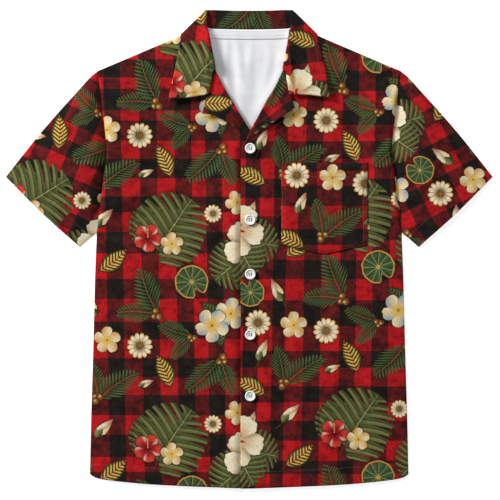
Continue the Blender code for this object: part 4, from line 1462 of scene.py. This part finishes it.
def front_collar_rows(side, front_tree):
    """Sections across the collar where it lies on a front, from its front end up to the shoulder."""
    sign = SIDES[side]["sign"]
    plan = leaf_rows(side, COLLAR_ROWS, LEAF_COLUMNS)
    plan[:, 0] += (plan[:, 1] - plan[:, 0]) * 0.06
    neckline = curve(FRONT_NECK, COLLAR_ROWS)
    bulges = -clockwise(unit(np.gradient(plan[:, 0], axis=0)))
    u = np.linspace(0, 1, COLLAR_ROWS)[:, None]
    v = np.linspace(0, 1, LEAF_COLUMNS)[None, :]
    lift = LEAF_LIFT * (0.5 + 0.5 * v) * (1 - ramp(u, 0.0, 0.8))
    lift = lift + ROLL_LIFT * np.sin(math.pi * u) * (1 - v)
    leaves = with_height(plan, resting_on(front_tree, mirrored(plan, sign)) + LAYER + lift)
    necks = with_height(neckline, resting_on(front_tree, mirrored(neckline, sign)))
    made = []
    for i in range(COLLAR_ROWS - 1):
        share = ramp(i / (COLLAR_ROWS - 1), 0.7, 1.0)
        bulge = np.append((1 - share) * bulges[i] + share * np.array((0.0, 1.0)), 0)
        toward_roll = plan[i, 0] - neckline[i]
        neck = necks[i] + np.append(toward_roll * min(0.5, SEAM / np.linalg.norm(toward_roll)), 0)
        made.append(collar_row(neck, leaves[i], unit(bulge)))
    return made


def wrap_rows():
    """Sections where the collar turns over the shoulder, from the front round to the back."""
    start, end = COLLAR_CORNER - WRAP_INSET, LEAF_END
    middle_z = CLOTH / 2 + 1.5 * LAYER
    made = []
    for a in np.radians((90, 45, 0, -45, -90)):
        turn = LAYER / 2 * np.array((math.cos(a), 0, math.sin(a)))
        stand = np.array((STAND_AXIS_X, 0, middle_z)) + turn
        fall = resample(np.array([start, end]), np.linspace(0, 1, LEAF_COLUMNS))
        fall = fall + WRAP_OUTWARD * WRAP_RADIUS * math.cos(a)
        fall = with_height(fall, np.full(LEAF_COLUMNS, middle_z + WRAP_RADIUS * math.sin(a)))
        fall[0, 0] = max(fall[0, 0], stand[0] + LAYER * math.cos(a))
        neck, stand_end = stand.copy(), stand.copy()
        neck[1], stand_end[1] = STAND_NECK_Y, fall[0, 1]
        arc = fold_arc(stand_end, fall[0], np.array((0.0, 1.0, 0.0)))
        made.append(np.vstack([neck, (neck + stand_end) / 2, stand_end, *arc, fall]))
    return made


def back_collar_rows():
    """Sections across the back of the neck: the stand shows, and the fall lies under the back."""
    stand_z, fall_z = CLOTH / 2 + LAYER, CLOTH / 2
    outer_x = COLLAR_SHOULDER[0] - 2 * WRAP_RADIUS
    made = []
    for share in (0.84, 0.64, 0.42, 0.2):
        x, edge_x = STAND_AXIS_X * share, outer_x * share
        fold_y = COLLAR_CORNER[1] - COLLAR_TOP_DIP * (1 - share**2) - CLOTH / 2 - LAYER / 2
        neck_y = np.interp(x, BACK_NECK[:, 0], BACK_NECK[:, 1]) + SEAM
        fall = np.linspace((x, fold_y, fall_z), (edge_x, fall_edge_y(edge_x), fall_z), LEAF_COLUMNS)
        made.append(collar_row(np.array((x, neck_y, stand_z)), fall, np.array((0.0, 1.0, 0.0))))
    return made


def leaf_outline(side):
    """The free edge of a collar leaf, from the notch round its point and up to the shoulder, at +X."""
    below, beside = leaf_edges(side, 30, 40)
    return np.vstack([below, beside[1:]])


def lapel_outline(side):
    """The free edge of a lapel, from the break up to its corner and along to the notch, at +X."""
    spec = SIDES[side]
    corner = np.array(spec["lapel_corner"]) * MM
    edge = curve(np.array(spec["lapel_edge"][::-1]) * MM, 30)
    return np.vstack([edge, corner, np.array(spec["notch"]) * MM])


def round_corners(grid, radius=15.0 * MM):
    """Rounds the collar's two upper corners, where its top edge meets its edges over the shoulders."""
    inwards = unit(SHOULDER_WAY + np.array((-1.0, 0.0)))
    half_angle = math.acos(float(inwards @ SHOULDER_WAY))
    centre = COLLAR_CORNER + inwards * radius / math.sin(half_angle)
    for sign in (-1, 1):
        off = mirrored(grid[..., :2], sign) - centre
        far = np.maximum(np.linalg.norm(off, axis=-1), 1e-9)
        outside = ((off @ -inwards) / far > math.sin(half_angle)) & (far > radius)
        moved = mirrored(centre + off * (radius / far)[..., None], sign)
        grid[..., :2] = np.where(outside[..., None], moved, grid[..., :2])
    return grid


def make_collar(trees):
    halves = {}
    for side in ("left", "right"):
        rows = np.array(front_collar_rows(side, trees[side]) + wrap_rows() + back_collar_rows())
        rows[..., 0] *= SIDES[side]["sign"]
        halves[side] = rows
    middle = halves["left"][-1:].copy()
    middle[..., 0] = 0
    middle[..., 1] -= (halves["left"][-2, :, 1] - halves["left"][-1, :, 1]) * 0.2
    grid = round_corners(finer(np.concatenate([halves["right"], middle, halves["left"][::-1]]), 2.0 * MM))
    for side in ("left", "right"):
        sign = SIDES[side]["sign"]
        inner_x, top_y, low_z = LEAF_ON_FRONT
        on_front = (grid[..., 0] * sign > inner_x) & (grid[..., 1] < top_y) & (grid[..., 2] > low_z)
        points = grid[on_front]
        floor = resting_on(trees[side], points[:, :2]) + LAYER * 0.9
        points[:, 2] = np.maximum(points[:, 2], floor)
        points[:, 2] -= turned_edge(points[:, :2], mirrored(leaf_outline(side), sign), 0.5 * MM, 2.6 * MM)
        grid[on_front] = points
    return grid


def spread_collar(plan):
    """Where the collar's points lie in its cloth: the print turns a little with each leaf."""
    middle = np.array((0, COLLAR_CORNER[1]))
    share = np.clip(plan[..., 0] / COLLAR_CORNER[0], -1, 1)
    return turn_by(plan - middle, -LEAF_TURN * share) + middle


def lapel_plan(side, rows, columns):
    """A lapel in plan and at +X, as a grid from its roll out to its free edge."""
    spec = SIDES[side]
    corner, notch, edge = (MM * np.array(spec[name]) for name in ("lapel_corner", "notch", "lapel_edge"))
    edge = edge[::-1]
    upper_edge = resample(np.array([edge[-1], corner]), np.array((0.34, 0.67, 1.0)))
    outer = np.vstack([curve(edge, rows - 3), upper_edge])
    roll = curve(spec["roll"], rows)
    gorge = np.array([roll[-1], notch - np.array((2 * SEAM, 0)), corner])
    shares = np.linspace(0, 1, columns)
    start = resample(np.array([roll[0], outer[0]]), shares)
    return patch(start, resample(gorge, shares), roll, outer, even=True)


def hidden_end(grid):
    """Adds a last row to a lapel: its inner part goes on, and down, under the collar's leaf."""
    onwards = grid[-1] - grid[-2]
    under_leaf = 1 - ramp(np.linspace(0, 1, grid.shape[1]), 0.62, 0.8)
    hidden = grid[-1] + onwards * (HIDDEN_END * under_leaf / np.linalg.norm(onwards, axis=1))[:, None]
    hidden[:, 2] -= HIDDEN_DROP * under_leaf
    return np.concatenate([grid, hidden[None]])


def make_lapel(side, front_tree):
    """The facing where it shows: tucked under the front's edge, over the roll and back as the lapel."""
    rows, columns = 11, 6
    sign, roll = SIDES[side]["sign"], curve(SIDES[side]["roll"], rows)
    made = []
    for i, line in enumerate(lapel_plan(side, rows, columns)):
        outwards = clockwise(unit(roll[min(i + 1, rows - 1)] - roll[max(i - 1, 0)]))
        line = line + (LAYER + CLOTH / 2) * outwards * np.linspace(1, 0, columns)[:, None]
        tucked = mirrored(np.array([line[0] + outwards * LAPEL_UNDER, line[0]]), sign)
        line = mirrored(line, sign)
        lift = LAPEL_LIFT * np.linspace(0, 1, columns) ** 1.5 * ramp(i / (rows - 1), 0.15, 0.6)
        flap = with_height(line, resting_on(front_tree, line) + LAYER + lift)
        tuck = with_height(tucked, resting_on(front_tree, tucked) - LAYER)
        bulge = np.append(mirrored(-outwards, sign), 0)
        made.append(np.vstack([tuck, *fold_arc(tuck[1], flap[0], bulge), flap]))
    grid = finer(hidden_end(np.array(made)), 1.8 * MM)
    outline = mirrored(lapel_outline(side)[:-1], sign)
    on_top = np.arange(grid.shape[1]) > grid.shape[1] // 2
    grid[..., 2] -= np.where(on_top, turned_edge(grid[..., :2], outline, 0.5 * MM, 2.6 * MM), 0)
    return grid


def make_neck_tape(back_tree):
    """A strip along the inside of the neck seam, from one roll of the collar to the other."""
    rows = []
    for share in (1.0, 0.5, 0.0):
        height = BACK_NECK[0, 1] - 1 * MM - TAPE_DEPTH * share
        half = np.interp(height, COLLAR_ROLL[:, 1], COLLAR_ROLL[:, 0]) - TAPE_CLEAR
        x = np.linspace(-half, half, 13)
        y = np.interp(np.abs(x), BACK_NECK[:, 0], BACK_NECK[:, 1]) - BACK_NECK[0, 1] + height
        rows.append(np.stack([x, y], axis=1))
    grid = finer(np.array(rows), 2.5 * MM)
    return with_height(grid, resting_on(back_tree, grid) + (CLOTH + TAPE) / 2 + 0.03 * MM)


def make_pocket(front_tree):
    half, rows = 32, 66
    columns = 2 * half - 1
    top_left, left, point, right, top_right = pocket_edge()
    bottom = np.vstack([np.linspace(left, point, half), np.linspace(point, right, half)[1:]])
    top = np.linspace(top_left, top_right, columns)
    inner, outer = np.linspace(left, top_left, rows), np.linspace(right, top_right, rows)
    grid = patch(bottom, top, inner, outer, even=True)
    u = np.linspace(0, 1, rows)[:, None]
    v = np.linspace(0, 1, columns)[None, :]
    belly = POCKET_MOUTH * np.sin(math.pi * v) * ramp(u, 0.3, 1.0)
    ripple = puckers(grid, pocket_edge(), 12 * MM, 13 * MM, 0.32 * MM, 0.4)
    fold_y = POCKET_TOP_Y - POCKET_HEM
    folded = 0.45 * MM * ramp(grid[..., 1], fold_y - 1.5 * MM, fold_y + 1.5 * MM)
    rolled = turned_edge(grid, pocket_edge(), 0.35 * MM, 2.2 * MM)
    return with_height(grid, resting_on(front_tree, grid) + LAYER + SEAM + belly + ripple + folded - rolled)


# Stitches and buttons

def add_thread(points, faces, start, end, rings, tip=0.0, lift=0.0):
    """Adds a rounded thread with five sides and pointed tips, which reach this far past start and end.

    Each ring is a share of the way, half the width and half the height of the thread there.
    """
    a, b = np.array(start), np.array(end)
    along = unit(b - a)
    side = np.cross((0.0, 0.0, 1.0), along)
    up = np.cross(along, side)
    first = len(points)
    points.append(a - along * tip)
    for share, half_width, half_height in rings:
        for turn in math.tau * np.arange(5) / 5:
            points.append(a + (b - a) * share + side * (math.cos(turn) * half_width)
                          + up * (math.sin(turn) * half_height + lift))
    points.append(b + along * tip)
    for k in range(5):
        n = (k + 1) % 5
        faces.append((first, first + 1 + n, first + 1 + k))
        for low in (first + 1, first + 6):
            faces.append((low + k, low + n, low + 5 + n, low + 5 + k))
        faces.append((first + 16, first + 11 + k, first + 11 + n))


def bar(points, faces, start, end, thick):
    """Adds a round bar of thread from start to end."""
    rings = [(share, thick / 2, thick / 2) for share in (0, 0.5, 1)]
    add_thread(points, faces, start, end, rings, tip=0.3 * thick)


def smooth_object(name, points, faces, look):
    made = add_object(name, points, faces, [look])
    made.data.shade_smooth()
    return made


def stitch_row(name, path, look):
    """A row of stitches along a line of points on the cloth: one small rounded thread for each stitch."""
    pitch = STITCH + STITCH_GAP
    total = travelled(path)[-1]
    starts = np.arange(max(1, int(total / pitch)))[:, None] * pitch
    ends = resample(path, (starts + (0, STITCH)).ravel() / total)
    rings = [(share, swell * STITCH_WIDTH / 2, 0.7 * swell * STITCH_WIDTH / 2)
             for share, swell in ((0.12, 0.8), (0.5, 1.0), (0.88, 0.8))]
    points, faces = [], []
    for start, end in zip(ends[::2], ends[1::2]):
        add_thread(points, faces, start, end, rings, lift=STITCH_LIFT)
    return smooth_object(name, points, faces, look)


def on_cloth(tree, line, thickness=CLOTH):
    return with_height(line, resting_on(tree, line) + thickness / 2)


def thick_row(name, centre_x, centre_y, z, length, width, look):
    """The worked edge of a buttonhole: close stitches across it, all round a slit."""
    points, faces = [], []
    count = round(length / (0.55 * MM))
    for side in (-1, 1):
        for k in range(count):
            y = centre_y + length * ((k + 0.5) / count - 0.5)
            x0, x1 = centre_x + side * 0.12 * MM, centre_x + side * width / 2
            bar(points, faces, (x0, y, z + 0.10 * MM), (x1, y, z + 0.02 * MM), 0.5 * MM)
    for end in (-1, 1):
        for k in range(5):
            y = centre_y + end * (length / 2 + (k - 2) * 0.28 * MM)
            start, stop = ((centre_x + way * width / 2, y, z + 0.10 * MM) for way in (-1, 1))
            bar(points, faces, start, stop, 0.42 * MM)
    return smooth_object(name, points, faces, look)


def button_disc(look, angles):
    """The button without its holes: a profile of (share of the radius, share of the thickness), turned."""
    profile = curve(np.array(BUTTON_PROFILE) * (BUTTON_RADIUS, BUTTON_THICKNESS), 44)[1:-1]
    steps = len(angles)
    points = [(0.0, 0.0, 0.0), (0.0, 0.0, BUTTON_PROFILE[-1][1] * BUTTON_THICKNESS)]
    for r, z in profile:
        points += [(r * math.cos(a), r * math.sin(a), min(max(z, 0.0), BUTTON_THICKNESS)) for a in angles]
    faces = []
    last = 2 + (len(profile) - 1) * steps
    for k in range(steps):
        n = (k + 1) % steps
        faces.append((0, 2 + n, 2 + k))
        for low in range(2, last, steps):
            faces.append((low + k, low + n, low + steps + n, low + steps + k))
        faces.append((1, last + k, last + n))
    return smooth_object("button_disc", points, faces, look)


def button_drill(look, angles):
    """Four round pins, where the button has its holes."""
    points, faces = [], []
    count = len(angles)
    for x, y in itertools.product((-BUTTON_HOLE_SPACING / 2, BUTTON_HOLE_SPACING / 2), repeat=2):
        first = len(points)
        for z in (-BUTTON_THICKNESS, 2 * BUTTON_THICKNESS):
            points += [(x + BUTTON_HOLE_RADIUS * math.cos(a), y + BUTTON_HOLE_RADIUS * math.sin(a), z)
                       for a in angles]
        for k in range(count):
            n = (k + 1) % count
            faces.append((first + k, first + n, first + count + n, first + count + k))
        faces.append(tuple(range(first, first + count))[::-1])
        faces.append(tuple(range(first + count, first + 2 * count)))
    return smooth_object("button_drill", points, faces, look)


def make_button(look, hole):
    """A turned button with a raised rim and a shallow middle, drilled with four holes."""
    angles = math.tau * np.arange(72) / 72
    disc, drill = button_disc(look, angles), button_drill(hole, angles[::3])
    holes = disc.modifiers.new("holes", "BOOLEAN")
    holes.operation = "DIFFERENCE"
    holes.solver = "EXACT"
    # The holes' walls take the pins' look, which is painted shade
    holes.material_mode = "TRANSFER"
    holes.object = drill
    shape = bpy.data.meshes.new_from_object(disc.evaluated_get(bpy.context.evaluated_depsgraph_get()))
    shape.name = "button"
    for made in (disc, drill):
        bpy.data.objects.remove(made)
    shape.shade_smooth()
    shape.set_sharp_from_angle(angle=math.radians(35))
    return shape


def button_thread(name, look):
    """Two pairs of threads across the middle of a button. Their ends go down into its holes."""
    points, faces = [], []
    high = 0.62 * BUTTON_THICKNESS + 0.12 * MM
    low, y = high - 0.5 * MM, BUTTON_HOLE_SPACING / 2
    for side in (-0.5, 0.5):
        for shift in (-0.26 * MM, 0.26 * MM):
            x = side * BUTTON_HOLE_SPACING + shift
            bar(points, faces, (x, -y - 0.1 * MM, low), (x, -y + 0.5 * MM, high), 0.5 * MM)
            bar(points, faces, (x, -y + 0.4 * MM, high), (x, y - 0.4 * MM, high), 0.5 * MM)
            bar(points, faces, (x, y - 0.5 * MM, high), (x, y + 0.1 * MM, low), 0.5 * MM)
    return smooth_object(name, points, faces, look)


# Putting the shirt together


def inside_line(line, inset):
    """A line this far to the right of another, as one walks along it, with its corners kept."""
    right = clockwise(unit(np.diff(line, axis=0)))
    middle = np.vstack([right[:1], right]) + np.vstack([right, right[-1:]])
    middle /= (middle * middle).sum(axis=1)[:, None] / 2
    return line + inset * middle


def stitch_along(name, tree, line, inset=0.0, share=(0.0, 1.0), look=RED_THREAD, thickness=CLOTH):
    """A row of stitches beside an edge, on the cloth that this surface is the middle of."""
    path = resample(inside_line(line, inset), np.linspace(*share, 120))
    dress(stitch_row(name, on_cloth(tree, path, thickness), look))


back_plain, back_inside = make_back()
back_tree = surface(back_inside)
# The back's grid is turned over, so that its outer side, which is printed, faces down
back = cloth_piece("back", back_inside[:, ::-1], inside=WHITE)
tape_grid = make_neck_tape(back_tree)
tape = cloth_piece("neck_tape", tape_grid, inside=WHITE, thickness=TAPE)

trees = {}
for side in ("right", "left"):
    sign = SIDES[side]["sign"]
    grid = make_front(side, surface(back_plain))
    trees[side] = surface(grid)
    made = cloth_piece("front_" + side, grid[:, ::sign], inside=WHITE)
    ring, spread, upper, stitches = make_sleeve(side)
    made = cloth_piece("sleeve_" + side, ring, plan=spread, closed=True, inside=WHITE)
    dress(stitch_row("sleeve_hem_stitches_" + side, on_cloth(surface(upper), stitches[3:-3]), RED_THREAD))
    lapel = make_lapel(side, trees[side])
    outline = mirrored(lapel_outline(side), sign)
    stitch_along("lapel_stitches_" + side, surface(lapel), outline, sign * LAPEL_STITCHES, (0.10, 0.97))
    made = cloth_piece("lapel_" + side, lapel[:, ::sign])

collar_grid = make_collar(trees)
collar = cloth_piece("collar", collar_grid, plan=spread_collar(collar_grid[..., :2]))

pocket_grid = make_pocket(trees["left"])
pocket = cloth_piece("pocket", pocket_grid, inside=WHITE)

collar_tree, pocket_tree, tape_tree = surface(collar_grid), surface(pocket_grid), surface(tape_grid)
for side, sign in (("left", 1), ("right", -1)):
    leaf = mirrored(leaf_outline(side), sign)
    stitch_along("collar_stitches_" + side, collar_tree, leaf, -sign * COLLAR_STITCHES, (0.05, 0.97))
for number, inset in enumerate(POCKET_STITCHES, start=1):
    stitch_along(f"pocket_stitches_{number}", pocket_tree, pocket_edge(1.5 * MM), -inset)
fold = np.array([(x, POCKET_TOP_Y - POCKET_HEM) for x in (POCKET_X[0] + 2 * MM, POCKET_X[1] - 2 * MM)])
stitch_along("pocket_mouth_stitches", pocket_tree, fold)
for number, drop in enumerate(TAPE_STITCHES, start=1):
    line = resample(tape_grid[-1, ::4, :2] - np.array((0, drop)), np.linspace(0.012, 0.988, 60))
    stitch_along(f"neck_tape_stitches_{number}", tape_tree, line, look=WHITE_THREAD, thickness=TAPE)
for side, sign, start in (("right", -1, 15.0 * MM), ("left", 1, -12.5 * MM)):
    line = mirrored(hem_stitch_line(start, 251 * MM), sign)
    dress(stitch_row("hem_stitches_" + side, on_cloth(trees[side], line), RED_THREAD))

button_shape = make_button(button_look(), hole_shade_look())
for number, (y, turn) in enumerate(zip(BUTTON_Y, BUTTON_TURNS), start=1):
    low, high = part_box(f"button_{number}")
    button = bpy.data.objects.new(f"shirt_button_{number}", button_shape)
    button.location = (BUTTON_X, y, low.z)
    button.rotation_euler.z = math.radians(turn)
    bpy.context.scene.collection.objects.link(button)
    dress(button, f"button_{number}")
    button_thread(f"button_thread_{number}", GREY_THREAD).parent = button
    seat = float(resting_on(trees["left"], np.array([(BUTTON_X, y)]))[0]) + CLOTH / 2
    dress(thick_row(f"buttonhole_{number}", BUTTON_X, y, seat, 19 * MM, 2.0 * MM, DARK_THREAD))


# Floor, light and camera

FLOOR_HALF = 6.0
FLOOR_Z = -0.3 * MM
corners = [(x * FLOOR_HALF, y * FLOOR_HALF, FLOOR_Z) for x, y in ((-1, -1), (1, -1), (1, 1), (-1, 1))]
add_object("floor", corners, [(0, 1, 2, 3)], [floor_look()])


def soft_light(name, place, size, power):
    """A large square lamp that faces the shirt."""
    data = bpy.data.lights.new(name, "AREA")
    data.shape = "SQUARE"
    data.size = size
    data.energy = power
    made = bpy.data.objects.new(name, data)
    made.location = place
    made.rotation_mode = "QUATERNION"
    made.rotation_quaternion = Vector(-np.array(place)).to_track_quat("-Z", "Y")
    bpy.context.scene.collection.objects.link(made)


soft_light("key_light", (-4.8, 3.2, 2.6), 1.4, 530)
soft_light("top_light", (0.1, 2.4, 1.3), 0.8, 14)
soft_light("fill_light", (1.2, -0.6, 2.8), 2.0, 6)

world = bpy.data.worlds.new("studio")
world.use_nodes = True
world.node_tree.nodes["Background"].inputs["Color"].default_value = (1.0, 1.0, 1.0, 1.0)
world.node_tree.nodes["Background"].inputs["Strength"].default_value = 0.24
bpy.context.scene.world = world
bpy.context.scene.view_settings.view_transform = "Standard"

VIEW_WIDTH = 0.8
CAMERA_HEIGHT = 3.0
camera = bpy.data.cameras.new("camera")
camera.sensor_width = 36.0
camera.lens = 36.0 * CAMERA_HEIGHT / VIEW_WIDTH
camera.clip_end = 50.0
camera_object = bpy.data.objects.new("camera", camera)
camera_object.location = (1.3 * MM, -2.0 * MM, CAMERA_HEIGHT)
bpy.context.scene.collection.objects.link(camera_object)
bpy.context.scene.camera = camera_object
